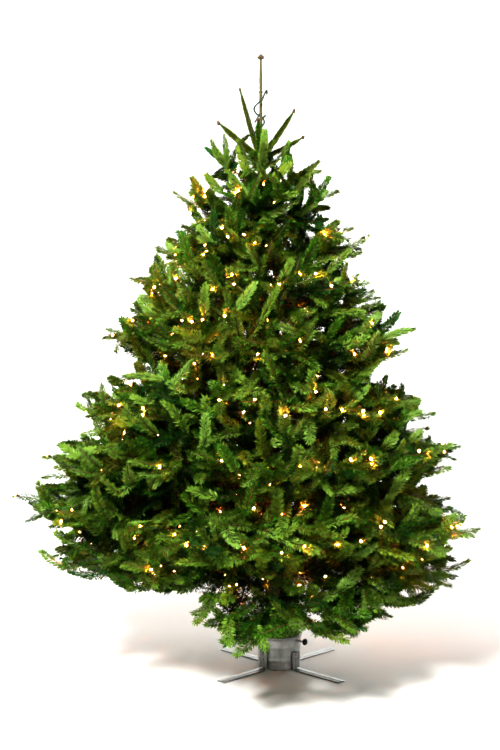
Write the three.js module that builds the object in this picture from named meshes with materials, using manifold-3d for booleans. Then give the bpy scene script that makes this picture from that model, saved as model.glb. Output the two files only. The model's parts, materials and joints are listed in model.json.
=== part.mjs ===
// A cut fir, dressed as a Christmas tree, standing in a galvanised stand with four feet.
//
// Millimetres, +Z up. The origin is the middle of the stand's underside, on the floor.
// +X is the side that the tree's longest bough points away from, and -Y is its best side.
// The trunk runs whole from the stand to the tip of the leader. Boughs leave it in whorls,
// one whorl for each year's growth, and each carries a flat, pointed mass of needles.
import * as THREE from "three";
import Module from "manifold-3d";

const wasm = await Module();
wasm.setup();

// ---- Driving dimensions ----------------------------------------------------------------
const TREE_HEIGHT = 2100; // floor to the buds on the leader
const TRUNK_LEAN = -63; // how far the top stands off the foot, along X
const LEAN_ENDS_AT = 1900; // above this the leader stands upright
const TRUNK_RADIUS = 41; // at the stand's rim
const ROOT_FLARE = 6; // extra radius at the flat cut
const FLARE_HEIGHT = 90;
const TOP_WHORL = 1745; // where the youngest side shoots leave, and the leader begins
const TOP_WHORL_RADIUS = 9;
const LEADER_RADIUS = 4.6;
const LEADER_TIP_RADIUS = 3.4;
const BUD_RADIUS = 9; // the knot of buds that ends the leader
const CLEARANCE = 0.5; // kept between pieces that touch

const POT_RADIUS = 75;
const POT_HEIGHT = 112;
const POT_WALL = 2.5;
const POT_FLOOR = 4;
const POT_TAPER = 4; // the pot is this much narrower at the floor
const POT_BEAD = 3.5; // rolled rim
const FOOT_COUNT = 4;
const FOOT_REACH = 275; // from the middle of the stand to the end of a foot
const FOOT_WIDTH = 34;
const FOOT_THICKNESS = 5;
const FOOT_TAB_HEIGHT = 62; // the part of a foot that stands against the pot
const FOOT_BEND = 14;
const SCREW_COUNT = 3;
const SCREW_HEIGHT = 92;
const SCREW_RADIUS = 4;
const SCREW_LENGTH = 62;

// Each whorl of boughs: its height on the trunk, its boughs' reach and the height of their
// tips, the directions they point in, in degrees from +X, and how deep their foliage is.
// A bough's own reach or tip stands in place of the whorl's. bare is the share of a bough
// that stands clear of its foliage; where it isn't given, the foliage starts at the trunk.
const WHORLS = [
  {
    name: "whorl_1", height: 345, reach: 655, tip: 375, depth: 138, fingers: 5,
    boughs: [{ to: 352, reach: 650, tip: 372 }, { to: 64 }, { to: 136 },
      { to: 204, reach: 795, tip: 442, depth: 112 }, { to: 274, reach: 690, tip: 312 }],
  },
  {
    name: "whorl_2", height: 515, reach: 690, tip: 560, depth: 146, fingers: 5,
    boughs: [{ to: 34, reach: 725 }, { to: 112 }, { to: 184, reach: 868, tip: 584, depth: 172 },
      { to: 254, reach: 740, tip: 530 }, { to: 326, reach: 735, tip: 524, depth: 164 }],
  },
  {
    name: "whorl_3", height: 690, reach: 645, tip: 755, depth: 152, fingers: 5,
    boughs: [{ to: 2, reach: 656, tip: 746, depth: 146 }, { to: 74 }, { to: 146 },
      { to: 206, reach: 775, tip: 738 }, { to: 278, reach: 650, tip: 740 }],
  },
  {
    name: "whorl_4", height: 870, reach: 595, tip: 930, depth: 164, fingers: 5,
    boughs: [{ to: 20, reach: 590, tip: 905, depth: 146 }, { to: 110 },
      { to: 194, reach: 640, tip: 893, depth: 172 }, { to: 285 }],
  },
  {
    name: "whorl_5", height: 1045, reach: 515, tip: 1135, depth: 152, fingers: 5,
    boughs: [{ to: 350, reach: 500, tip: 1145, depth: 186 }, { to: 78 },
      { to: 170, reach: 560, tip: 1155, depth: 182 }, { to: 255 }],
  },
  {
    name: "whorl_6", height: 1210, reach: 430, tip: 1305, depth: 128, fingers: 5,
    boughs: [{ to: 18, tip: 1272, depth: 97 }, { to: 108 },
      { to: 192, reach: 450, tip: 1315 }, { to: 286 }],
  },
  {
    name: "whorl_7", height: 1350, reach: 362, tip: 1445, depth: 112, fingers: 5,
    boughs: [{ to: 352, reach: 358, tip: 1464, depth: 88 }, { to: 75 },
      { to: 165, reach: 382 }, { to: 250 }],
  },
  {
    name: "whorl_8", height: 1475, reach: 280, tip: 1612, depth: 96, fingers: 3, bare: 0.24,
    boughs: [{ to: 8, reach: 265, tip: 1632, depth: 112 }, { to: 100 }, { to: 182, reach: 298, tip: 1618 },
      { to: 276 }],
  },
  {
    name: "whorl_9", height: 1600, reach: 195, tip: 1740, depth: 72, fingers: 3, bare: 0.32,
    boughs: [{ to: 14, reach: 210, tip: 1706 }, { to: 165, reach: 195, tip: 1785, depth: 52 }, { to: 272 }],
  },
];

// The youngest side shoots, round the foot of the leader: direction, length and rise.
const TOP_SHOOTS = [
  { to: 156, length: 242, rise: 75.5 },
  { to: 204, length: 164, rise: 35.5 },
  { to: 264, length: 122, rise: 50 },
  { to: 330, length: 169, rise: 51.5 },
  { to: 24, length: 160, rise: 30 },
  { to: 84, length: 150, rise: 42 },
];
const SHOOT_RADIUS = 13; // of a shoot with its needles

const WIDEST = 41; // degrees that a bough's foliage spreads to each side, at most
const BETWEEN_BOUGHS = 1.3; // degrees kept clear on each side of a bough's foliage
const SIDE_SHORTER = 0.13; // how much sooner the outermost side shoots end than the middle
const NOTCH = 0.8; // how far the foliage reaches between two fingers, beside their tips
const EARLY_RISE = 1.5; // a bough climbs faster near the trunk, and flattens towards its tip

// ---- Helpers ---------------------------------------------------------------------------
const radians = THREE.MathUtils.degToRad;
const lerp = THREE.MathUtils.lerp;
const clamp = THREE.MathUtils.clamp;

// A repeatable value from -1 to 1 for each seed.
function uneven(seed) {
  const x = Math.sin(seed * 12.9898 + 4.1414) * 43758.5453;
  return 2 * (x - Math.floor(x)) - 1;
}

// A closed skin over rings of points, each with as many points as the last. Each end is
// closed by a fan round the middle of its ring.
function loft(rings) {
  const around = rings[0].length;
  const points = rings.flat();
  const middle = (ring) =>
    ring.reduce((sum, p) => sum.add(p), new THREE.Vector3()).divideScalar(around);
  const first = points.push(middle(rings[0])) - 1;
  const last = points.push(middle(rings[rings.length - 1])) - 1;
  const faces = [];
  for (let i = 0; i < around; i++) {
    const next = (i + 1) % around;
    for (let row = 0; row < rings.length - 1; row++) {
      const a = row * around + i;
      const b = row * around + next;
      faces.push(a, b, b + around, a, b + around, a + around);
    }
    const end = (rings.length - 1) * around;
    faces.push(first, next, i, last, end + i, end + next);
  }
  const geometry = new THREE.BufferGeometry().setFromPoints(points);
  geometry.setIndex(faces);
  return geometry;
}

// A geometry's closed skin as a manifold-3d solid, and back again.
function solidOf(geometry) {
  return new wasm.Manifold(
    new wasm.Mesh({
      numProp: 3,
      vertProperties: new Float32Array(geometry.getAttribute("position").array),
      triVerts: new Uint32Array(geometry.index.array),
    }),
  );
}
function geometryOf(solid) {
  const { vertProperties, triVerts } = solid.getMesh();
  const geometry = new THREE.BufferGeometry();
  geometry.setAttribute("position", new THREE.BufferAttribute(vertProperties, 3));
  geometry.setIndex(new THREE.BufferAttribute(triVerts, 1));
  return geometry;
}
const cutBy = (geometry, cutter) => geometryOf(solidOf(geometry).subtract(cutter));

// A round limb along a curve, with the radius that radiusAt gives for each share of it.
function limb(pointAt, radiusAt, steps, sides) {
  const rings = [];
  for (let row = 0; row <= steps; row++) {
    const share = row / steps;
    const ahead = pointAt(Math.min(1, share + 0.01));
    const axis = ahead.sub(pointAt(Math.max(0, share - 0.01))).normalize();
    const side = new THREE.Vector3(0, 1, 0).cross(axis);
    if (side.length() < 0.2) side.set(0, 0, 1).cross(axis);
    side.normalize();
    const up = axis.clone().cross(side);
    const centre = pointAt(share);
    const ring = [];
    for (let i = 0; i < sides; i++) {
      const turn = (2 * Math.PI * i) / sides;
      ring.push(
        centre.clone()
          .addScaledVector(side, radiusAt(share) * Math.cos(turn))
          .addScaledVector(up, radiusAt(share) * Math.sin(turn)),
      );
    }
    rings.push(ring);
  }
  return loft(rings);
}

// ---- Materials -------------------------------------------------------------------------
const finish = (color, roughness, metalness = 0) =>
  new THREE.MeshStandardMaterial({ color, roughness, metalness });
const bark = finish(0x6a5a48, 0.9);
const youngBark = finish(0x7d6a3a, 0.8);
const needles = finish(0x2c5a1e, 0.6);
const youngNeedles = finish(0x5b8430, 0.6);
const galvanised = finish(0xb4b9b4, 0.45, 0.7);
const steel = finish(0x8a8d8c, 0.4, 0.8);

const tree = new THREE.Group();
tree.name = "christmas_tree";

function add(name, geometry, material, parent = tree) {
  const mesh = new THREE.Mesh(geometry, material);
  mesh.name = name;
  parent.add(mesh);
  return mesh;
}

// ---- Trunk -----------------------------------------------------------------------------
const CUT_HEIGHT = POT_FLOOR + CLEARANCE; // the flat cut stands on the floor of the pot

function trunkCentre(height) {
  const lean = Math.sin((Math.PI / 2) * clamp(height / LEAN_ENDS_AT, 0, 1));
  return new THREE.Vector3(TRUNK_LEAN * lean, 0, height);
}
function trunkRadius(height) {
  if (height > TOP_WHORL) {
    const share = (height - TOP_WHORL) / (TREE_HEIGHT - TOP_WHORL);
    return lerp(LEADER_RADIUS, LEADER_TIP_RADIUS, share);
  }
  const flare = ROOT_FLARE * Math.max(0, 1 - height / FLARE_HEIGHT) ** 2;
  return lerp(TRUNK_RADIUS, TOP_WHORL_RADIUS, height / TOP_WHORL) + flare;
}

// Level rings up the trunk, closer together at the flare and round the buds at the tip.
function trunkGeometry(extra = 0, sides = 12) {
  const BUD_LENGTH = 22;
  const heights = [CUT_HEIGHT, 30, 60, FLARE_HEIGHT];
  for (let whorl = 0; whorl < WHORLS.length; whorl++) heights.push(WHORLS[whorl].height);
  heights.push(TOP_WHORL, TOP_WHORL + 12, TOP_WHORL + 120, TOP_WHORL + 235);
  const rings = heights.map((height) => ({ height, radius: trunkRadius(height) + extra }));
  rings.push(
    { height: TREE_HEIGHT - BUD_LENGTH, radius: LEADER_TIP_RADIUS + extra },
    { height: TREE_HEIGHT - BUD_LENGTH * 0.55, radius: BUD_RADIUS + extra },
    { height: TREE_HEIGHT - BUD_LENGTH * 0.15, radius: BUD_RADIUS * 0.8 + extra },
    { height: TREE_HEIGHT, radius: 2 },
  );
  return loft(
    rings.map(({ height, radius }) => {
      const centre = trunkCentre(height);
      return Array.from({ length: sides }, (_, i) => {
        const turn = (2 * Math.PI * i) / sides;
        return centre.clone().add(
          new THREE.Vector3(Math.cos(turn), Math.sin(turn), 0).multiplyScalar(radius),
        );
      });
    }),
  );
}
add("trunk", trunkGeometry(), bark);
const trunkCutter = solidOf(trunkGeometry(CLEARANCE));

// ---- Boughs and their foliage ----------------------------------------------------------
// The line of a bough: share 0 is the middle of the trunk and share 1 is its furthest tip.
// A side shoot's line is turned from it, and keeps its height for the same distance out.
function boughLine(whorl, bough) {
  const foot = trunkCentre(whorl.height);
  const reach = bough.reach ?? whorl.reach;
  const rise = (bough.tip ?? whorl.tip) - whorl.height;
  const at = (share, turn = 0) => {
    const out = new THREE.Vector3(reach * share, 0, 0);
    out.applyAxisAngle(new THREE.Vector3(0, 0, 1), radians(bough.to) + turn);
    out.z = rise * (EARLY_RISE * share + (1 - EARLY_RISE) * share * share);
    return out.add(foot);
  };
  return { at, reach };
}

// How far foliage spreads on one side, in radians: half the way to the next bough.
function halfSpread(boughs, index, way) {
  const next = boughs[(index + way + boughs.length) % boughs.length].to;
  const apart = (way * (next - boughs[index].to) + 720) % 360;
  return radians(Math.min(apart / 2 - BETWEEN_BOUGHS, WIDEST));
}

// A pad of foliage that spreads from the trunk like a hand, with pointed fingers at its rim.
// Each ring is one upright slice of it: out along its top, and back along its underside.
// A pad with no bare bough is fitted round the trunk, with a little clearance.
function foliage(whorl, index, seed) {
  const bough = whorl.boughs[index];
  const line = boughLine(whorl, bough);
  const LIFT = 30; // a finger's tip stands this much higher or lower than its bough
  const DROOP = 0.07; // how far the sides hang, for each step sideways
  const STEPS = [0, 0.36, 0.72, 1];
  const FULLNESS = [0.62, 1, 0.92, 0.34]; // depth at each step, beside the whorl's
  const ABOVE = 0.55; // the share of the depth that lies above the bough
  const slices = 2 * whorl.fingers;
  const rings = [];
  for (let slice = 0; slice <= slices; slice++) {
    const across = (2 * slice) / slices - 1;
    const turn = across * halfSpread(whorl.boughs, index, Math.sign(across) || 1);
    const out = new THREE.Vector3(1, 0, 0);
    out.applyAxisAngle(new THREE.Vector3(0, 0, 1), radians(bough.to) + turn);
    const isTip = slice % 2 === 1;
    const middle = 2 * slice === slices;
    const trim = middle ? 1 : 1 - 0.07 * Math.abs(uneven(seed + slice));
    const rim = line.reach * (1 - SIDE_SHORTER * across ** 2) * (isTip ? 1 : NOTCH) * trim;
    const upOrDown = slice % 4 === 1 ? 1 : -1;
    const lift = middle ? 0 : LIFT * (upOrDown + 0.6 * uneven(seed + 3 * slice + 1));
    const over = [];
    const under = [];
    STEPS.forEach((step, row) => {
      const radius = lerp((whorl.bare ?? 0) * line.reach, rim, step);
      const point = line.at(radius / line.reach, turn);
      const full = FULLNESS[row] * (1 - 0.3 * across ** 2) * (isTip || row < 2 ? 1 : 0.85);
      const deep = (bough.depth ?? whorl.depth) * full * (1 + 0.1 * uneven(seed + 7 * slice + row));
      const drop = lift * step ** 2 - DROOP * radius * Math.abs(Math.sin(turn));
      const place = (height) =>
        row > 0 || whorl.bare
          ? point.clone().setZ(height)
          : trunkCentre(height).addScaledVector(out, trunkRadius(height) + CLEARANCE);
      over.push(place(point.z + drop + ABOVE * deep));
      under.unshift(place(point.z + drop - (1 - ABOVE) * deep));
    });
    rings.push([...over, ...under]);
  }
  return loft(rings);
}

const BOUGH_THICKNESS = 0.021; // radius at the trunk, as a share of the reach
WHORLS.forEach((whorl, tier) => {
  const isYoung = tier > 6;
  const whorlGroup = new THREE.Group();
  whorlGroup.name = whorl.name;
  tree.add(whorlGroup);
  whorl.boughs.forEach((bough, index) => {
    const label = `${tier + 1}_${index + 1}`;
    const pad = foliage(whorl, index, 17 * tier + 5 * index);
    add(`foliage_${label}`, pad, isYoung ? youngNeedles : needles, whorlGroup);
    if (whorl.bare === undefined) return;
    const line = boughLine(whorl, bough);
    const thickness = BOUGH_THICKNESS * line.reach;
    const end = whorl.bare - (thickness + CLEARANCE) / line.reach;
    const arm = limb(
      (share) => line.at(share * end),
      (share) => lerp(thickness, thickness * 0.72, share),
      4, 7,
    );
    add(`bough_${label}`, cutBy(arm, trunkCutter), youngBark, whorlGroup);
  });
});

TOP_SHOOTS.forEach((shoot, index) => {
  const turn = radians(shoot.to);
  const rise = radians(shoot.rise);
  const out = new THREE.Vector3(Math.cos(turn), Math.sin(turn), 0);
  const along = out.clone().multiplyScalar(Math.cos(rise)).setZ(Math.sin(rise));
  const foot = trunkCentre(TOP_WHORL).addScaledVector(out, TOP_WHORL_RADIUS + 7);
  const spindle = limb(
    (share) => foot.clone().addScaledVector(along, shoot.length * share),
    (share) => SHOOT_RADIUS * lerp(0.2, 1, Math.sin(Math.PI * clamp(share + 0.06, 0, 1)) ** 0.6),
    5, 7,
  );
  add(`top_shoot_${index + 1}`, cutBy(spindle, trunkCutter), youngNeedles);
});

// ---- Stand -----------------------------------------------------------------------------
const stand = new THREE.Group();
stand.name = "stand";
tree.add(stand);

// The pot's outer radius at a height.
const potRadiusAt = (height) => POT_RADIUS - POT_TAPER * (1 - height / POT_HEIGHT);

// A cylinder lying along a direction, from one distance off the middle to another.
function spoke(radius, from, to, turn, height) {
  const bar = new THREE.CylinderGeometry(radius, radius, to - from, 12);
  bar.rotateZ(-Math.PI / 2).translate((from + to) / 2, 0, height).rotateZ(turn);
  return bar;
}

// A merged copy of a geometry, with nothing but its points and faces.
function bare(geometry) {
  const seen = new Map();
  const source = geometry.index ? geometry.toNonIndexed() : geometry;
  const position = source.getAttribute("position");
  const points = [];
  const faces = [];
  const ROUNDING = 1e4;
  for (let i = 0; i < position.count; i++) {
    const p = new THREE.Vector3().fromBufferAttribute(position, i);
    const key = p.toArray().map((x) => Math.round(x * ROUNDING)).join();
    if (!seen.has(key)) seen.set(key, points.push(p) - 1);
    faces.push(seen.get(key));
  }
  const kept = [];
  for (let i = 0; i < faces.length; i += 3) {
    const [a, b, c] = faces.slice(i, i + 3);
    if (a !== b && b !== c && a !== c) kept.push(a, b, c);
  }
  const merged = new THREE.BufferGeometry().setFromPoints(points);
  merged.setIndex(kept);
  return merged;
}

function potGeometry() {
  const inner = (height) => potRadiusAt(height) - POT_WALL;
  const profile = [
    [0, 0], [potRadiusAt(0), 0], [potRadiusAt(POT_HEIGHT - 8), POT_HEIGHT - 8],
    [POT_RADIUS + POT_BEAD, POT_HEIGHT - 6], [POT_RADIUS + POT_BEAD, POT_HEIGHT - 2],
    [POT_RADIUS, POT_HEIGHT], [inner(POT_HEIGHT), POT_HEIGHT - 2],
    [inner(POT_FLOOR), POT_FLOOR], [0, POT_FLOOR],
  ].map(([x, y]) => new THREE.Vector2(x, y));
  const shell = new THREE.LatheGeometry(profile, 30).rotateX(Math.PI / 2);
  let pot = solidOf(bare(shell));
  for (let i = 0; i < SCREW_COUNT; i++) {
    const hole = spoke(SCREW_RADIUS + CLEARANCE, POT_RADIUS - 12, POT_RADIUS + 12,
      screwTurn(i), SCREW_HEIGHT);
    pot = pot.subtract(solidOf(bare(hole)));
  }
  return geometryOf(pot);
}
const screwTurn = (i) => radians(90) + (2 * Math.PI * i) / SCREW_COUNT;
add("stand_pot", potGeometry(), galvanised, stand);

// A foot is a strip of steel: a tab up the side of the pot, a bend, and a run along the floor.
function footGeometry() {
  const wall = POT_RADIUS + CLEARANCE;
  const bendMiddle = new THREE.Vector2(wall + FOOT_BEND, FOOT_BEND);
  const inside = FOOT_BEND - FOOT_THICKNESS;
  const outline = new THREE.Shape();
  outline.moveTo(wall, FOOT_TAB_HEIGHT);
  outline.lineTo(wall, FOOT_BEND);
  outline.absarc(bendMiddle.x, bendMiddle.y, FOOT_BEND, Math.PI, Math.PI * 1.5, false);
  outline.lineTo(FOOT_REACH, 0);
  outline.lineTo(FOOT_REACH, FOOT_THICKNESS);
  outline.lineTo(bendMiddle.x, FOOT_THICKNESS);
  outline.absarc(bendMiddle.x, bendMiddle.y, inside, Math.PI * 1.5, Math.PI, true);
  outline.lineTo(wall + FOOT_THICKNESS, FOOT_TAB_HEIGHT);
  outline.closePath();
  const strip = new THREE.ExtrudeGeometry(outline, {
    depth: FOOT_WIDTH, bevelEnabled: false, curveSegments: 4,
  });
  return strip.translate(0, 0, -FOOT_WIDTH / 2).rotateX(Math.PI / 2);
}
for (let i = 0; i < FOOT_COUNT; i++) {
  const foot = add(`stand_foot_${i + 1}`, footGeometry(), steel, stand);
  foot.rotation.z = radians(45) + (2 * Math.PI * i) / FOOT_COUNT;
}

// A screw: a pad against the trunk, a shaft, a collar outside the pot and a ribbed knob.
function screwGeometry() {
  const pad = trunkRadius(SCREW_HEIGHT) + 5;
  const collar = POT_RADIUS + 4;
  const end = pad + SCREW_LENGTH;
  const profile = [
    [0, pad], [7, pad], [7, pad + 3], [SCREW_RADIUS, pad + 5], [SCREW_RADIUS, collar],
    [8, collar], [8, collar + 5], [SCREW_RADIUS, collar + 6], [SCREW_RADIUS, end - 10],
    [11, end - 9], [12, end - 4], [9, end], [0, end],
  ].map(([x, y]) => new THREE.Vector2(x, y));
  const turned = new THREE.LatheGeometry(profile, 9);
  return bare(turned.rotateZ(-Math.PI / 2));
}
for (let i = 0; i < SCREW_COUNT; i++) {
  const screw = add(`stand_screw_${i + 1}`, screwGeometry(), steel, stand);
  screw.position.set(0, 0, SCREW_HEIGHT);
  screw.rotation.z = screwTurn(i);
}

export default tree;
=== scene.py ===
import json
import math
import random
from dataclasses import dataclass, field

import bpy
import numpy as np
from bpy.props import FloatProperty, FloatVectorProperty, IntProperty, PointerProperty
from bpy.types import Operator, Panel, PropertyGroup
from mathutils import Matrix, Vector, noise
from mathutils.bvhtree import BVHTree
from mathutils.kdtree import KDTree

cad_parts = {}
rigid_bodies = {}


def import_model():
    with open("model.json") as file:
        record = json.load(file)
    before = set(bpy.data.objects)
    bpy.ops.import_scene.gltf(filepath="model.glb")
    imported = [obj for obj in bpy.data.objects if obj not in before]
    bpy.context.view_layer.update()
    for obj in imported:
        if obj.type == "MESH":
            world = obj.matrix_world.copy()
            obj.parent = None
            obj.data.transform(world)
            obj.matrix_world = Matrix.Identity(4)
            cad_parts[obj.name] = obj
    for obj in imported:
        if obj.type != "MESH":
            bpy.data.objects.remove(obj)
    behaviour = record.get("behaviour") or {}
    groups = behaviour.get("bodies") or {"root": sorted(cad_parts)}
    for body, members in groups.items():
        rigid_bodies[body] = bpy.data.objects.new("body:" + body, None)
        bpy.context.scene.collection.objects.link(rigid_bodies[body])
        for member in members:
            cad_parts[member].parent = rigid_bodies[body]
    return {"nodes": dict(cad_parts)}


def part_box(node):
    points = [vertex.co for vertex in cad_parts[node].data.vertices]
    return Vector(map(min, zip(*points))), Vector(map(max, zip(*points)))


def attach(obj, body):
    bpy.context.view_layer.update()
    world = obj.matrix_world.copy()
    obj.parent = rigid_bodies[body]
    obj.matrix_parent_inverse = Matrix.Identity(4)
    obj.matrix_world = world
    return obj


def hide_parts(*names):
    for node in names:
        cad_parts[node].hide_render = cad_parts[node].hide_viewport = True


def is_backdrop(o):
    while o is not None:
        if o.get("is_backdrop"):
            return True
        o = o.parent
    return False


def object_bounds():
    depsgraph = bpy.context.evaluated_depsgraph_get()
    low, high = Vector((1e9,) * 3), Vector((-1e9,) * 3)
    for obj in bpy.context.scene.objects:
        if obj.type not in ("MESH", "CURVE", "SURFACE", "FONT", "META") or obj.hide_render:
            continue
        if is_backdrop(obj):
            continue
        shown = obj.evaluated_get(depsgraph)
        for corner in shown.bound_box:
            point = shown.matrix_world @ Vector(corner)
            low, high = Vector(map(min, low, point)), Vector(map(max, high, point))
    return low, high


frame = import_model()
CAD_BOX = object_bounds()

bl_info = {
    "name": "Christmas tree",
    "version": (1, 0, 0),
    "blender": (4, 5, 0),
    "location": "3D View > Sidebar > Christmas tree",
    "description": "Grows a cut fir with its needles, lights and stand round a packed frame",
    "category": "Object",
}

UP = Vector((0, 0, 1))
CAD = frame["nodes"]
HEIGHT = CAD_BOX[1].z
BEYOND = 1.2  # further from the trunk than any bough


def around(angle, rise=0.0):
    """A direction away from the trunk, at an angle round it. It may rise."""
    return Vector((math.cos(angle), math.sin(angle), rise))


def colour(text, default):
    """A colour setting with its default."""
    return FloatVectorProperty(name=text, description=text, subtype="COLOR", default=default,
                               min=0, max=1)


def size(name, description, default):
    """A length setting in metres."""
    return FloatProperty(name=name, description=description, default=default, min=0,
                         unit="LENGTH", precision=4)


class GrowthSettings(PropertyGroup):
    """How the boughs branch."""

    seed: IntProperty(name="Seed", description="Which of many like trees grows", default=7)
    year_length: size("Year's growth", "Length of the shoot that a bough makes in a year", 0.116)
    room: size("Room", "Distance that shoots keep from each other", 0.0475)
    side_angle: FloatProperty(name="Side angle", description="Between a shoot and its side shoots",
                              default=math.radians(50), unit="ROTATION")
    twig_radius: size("Twig radius", "Radius at the foot of this year's shoots", 0.0017)


class NeedleSettings(PropertyGroup):
    """Needles, and the greens that are dealt out to them by spray."""

    count: IntProperty(name="Count", description="Needles on the whole tree", default=835000)
    length: size("Length", "Length of a needle on the lower boughs", 0.0238)
    width: size("Width", "Width of a needle where it is widest", 0.0039)
    pale: colour("Pale green", (0.19, 0.33, 0.06))
    bright: colour("Bright green", (0.16, 0.28, 0.036))
    yellow: colour("Yellow green", (0.18, 0.25, 0.02))
    middle: colour("Middle green", (0.05, 0.14, 0.01))
    deep: colour("Deep green", (0.02, 0.068, 0.006))
    olive: colour("Olive", (0.095, 0.105, 0.012))
    cool: colour("Cool green", (0.025, 0.11, 0.02))


class BarkSettings(PropertyGroup):
    """Bark of the trunk, the boughs and the twigs."""

    trunk: colour("Trunk", (0.17, 0.13, 0.095))
    twig: colour("Old twigs", (0.12, 0.07, 0.035))
    shoot: colour("Young shoots", (0.3, 0.15, 0.04))
    leader: colour("Leader", (0.095, 0.08, 0.026))
    bud: colour("Buds", (0.13, 0.09, 0.03))
    relief: size("Relief", "Height of the bark's ridges at the foot of the trunk", 0.0022)


class LightSettings(PropertyGroup):
    """Strings of lights."""

    count: IntProperty(name="Bulbs", description="Places for a bulb, where twigs are near enough",
                       default=570)
    turns: FloatProperty(name="Turns", description="Turns of the string round the tree", default=14)
    bulb_length: size("Bulb length", "Length of a bulb out of its socket", 0.0125)
    bulb_radius: size("Bulb radius", "Radius of a bulb", 0.0037)
    end_radius: size("End radius", "Radius of the string's twisted end on the leader", 0.0032)
    wire_radius: size("Wire radius", "Radius of the wire", 0.0009)
    glow: colour("Glow", (1.0, 0.23, 0.07))
    glass: colour("Glass", (1.0, 0.42, 0.16))
    strength: FloatProperty(name="Strength", description="Brightness of the bulbs", default=850)
    amber: FloatProperty(name="Amber", description="Brightness of the glass beside it", default=1.25)
    wire: colour("Wire", (0.012, 0.035, 0.018))


class StandSettings(PropertyGroup):
    """The stand."""

    pot: colour("Pot", (0.56, 0.58, 0.57))
    steel: colour("Steel", (0.46, 0.47, 0.47))
    knob: colour("Knobs", (0.03, 0.03, 0.032))
    screw_radius: size("Screw radius", "Outer radius of the screws' thread", 0.0038)
    pitch: size("Pitch", "Pitch of the screws' thread", 0.0018)


class StageSettings(PropertyGroup):
    """Camera, floor and light."""

    distance: size("Camera distance", "From the foot of the tree to the camera", 3.3)
    height: size("Camera height", "Above the floor", 0.962)
    aside: size("Camera aside", "How far the camera stands to the left of the foot", 0.1)
    lens: FloatProperty(name="Lens", description="Focal length", default=46.1, unit="CAMERA")
    rise: FloatProperty(name="Rise", description="Vertical shift of the lens", default=0.0133)
    floor: colour("Floor", (0.78, 0.76, 0.73))
    wall: colour("Wall", (0.95, 0.95, 0.93))


SETTINGS = {
    "fir_growth": GrowthSettings,
    "fir_needles": NeedleSettings,
    "fir_bark": BarkSettings,
    "fir_lights": LightSettings,
    "fir_stand": StandSettings,
    "fir_stage": StageSettings,
}


# ---- Meshes ------------------------------------------------------------------------------
def unit(vectors):
    """Vectors of length one along the last axis."""
    return vectors / np.maximum(np.linalg.norm(vectors, axis=-1, keepdims=True), 1e-12)


def make_piece(name, points, faces, materials, slots=None, smooth=True):
    """A mesh object that rides on the tree. faces are arrays, each with one number of corners."""
    mesh = bpy.data.meshes.new(name)
    points = np.asarray(points, np.float32).reshape(-1, 3)
    corners = np.concatenate([f.ravel() for f in faces]).astype(np.int32)
    sizes = np.concatenate([np.full(len(f), f.shape[1]) for f in faces])
    starts = np.concatenate([[0], np.cumsum(sizes)[:-1]]).astype(np.int32)
    mesh.vertices.add(len(points))
    mesh.vertices.foreach_set("co", points.ravel())
    mesh.loops.add(len(corners))
    mesh.loops.foreach_set("vertex_index", corners)
    mesh.polygons.add(len(sizes))
    mesh.polygons.foreach_set("loop_start", starts)
    for material in materials:
        mesh.materials.append(material)
    if slots is not None:
        mesh.polygons.foreach_set("material_index", np.asarray(slots, np.int32))
    mesh.polygons.foreach_set("use_smooth", np.full(len(sizes), smooth))
    mesh.update(calc_edges=True)
    mesh.validate()
    piece = bpy.data.objects.new(name, mesh)
    bpy.context.collection.objects.link(piece)
    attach(piece, "root")
    return piece


def turns(sides):
    """The angles of so many even steps round a circle."""
    return np.arange(sides) * 2 * math.pi / sides


def ring_faces(rows, sides, count=1):
    """The sides and the end caps of closed tubes, each made of rings of points."""
    first = np.arange(count * rows).reshape(count, rows, 1) * sides
    here = np.arange(sides)
    after = np.roll(here, -1)
    low, high = first[:, :-1], first[:, 1:]
    quads = np.stack([low + here, low + after, high + after, high + here], -1).reshape(-1, 4)
    caps = np.concatenate([first[:, 0] + here[::-1], first[:, -1] + here])
    return [quads, caps]


def tubes(lines, radii, ups, sides):
    """Points and faces of closed tubes. lines is (tube, row, 3), radii (tube, row), ups (tube, 3)."""
    count, rows, _ = lines.shape
    along = unit(np.gradient(lines, axis=1))
    side = unit(np.cross(ups[:, None, :], along))
    up = np.cross(along, side)
    turn = turns(sides)
    ring = (side[:, :, None] * np.cos(turn)[:, None] + up[:, :, None] * np.sin(turn)[:, None])
    points = lines[:, :, None] + radii[:, :, None, None] * ring
    return points.reshape(-1, 3), ring_faces(rows, sides, count)


def joined(parts):
    """One (points, faces, slots) from several (points, faces, slot).

    A part's slot is one number, or a list with an array for each of its arrays of faces.
    Faces are gathered by their number of corners.
    """
    offset, points, gathered = 0, [], {}
    for part_points, part_faces, slot in parts:
        for i, corners in enumerate(part_faces):
            faces, slots = gathered.setdefault(corners.shape[1], ([], []))
            faces.append(corners + offset)
            slots.append(slot[i] if isinstance(slot, list) else np.full(len(corners), slot))
        points.append(part_points)
        offset += len(part_points)
    groups = [gathered[corners] for corners in sorted(gathered)]
    slots = np.concatenate([own for _, group in groups for own in group])
    return np.concatenate(points), [np.concatenate(faces) for faces, _ in groups], slots


def revolved(profile, sides):
    """Points and faces of a profile of (radius, height) turned about an upright axis."""
    profile = np.asarray(profile, float)
    turn = turns(sides)
    x, y = profile[:, :1] * np.cos(turn), profile[:, :1] * np.sin(turn)
    points = np.stack([x, y, np.repeat(profile[:, 1:], sides, 1)], -1).reshape(-1, 3)
    return points, ring_faces(len(profile), sides)


def turned(points, azimuth, offset=(0, 0, 0)):
    """Points turned about +Z, then moved."""
    c, s = math.cos(azimuth), math.sin(azimuth)
    spin = np.array([[c, -s, 0], [s, c, 0], [0, 0, 1]])
    return points @ spin.T + np.asarray(offset)


def laid(points):
    """Points turned so that what stood up lies along +X."""
    return np.stack([points[:, 2], points[:, 0], points[:, 1]], -1)


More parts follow.
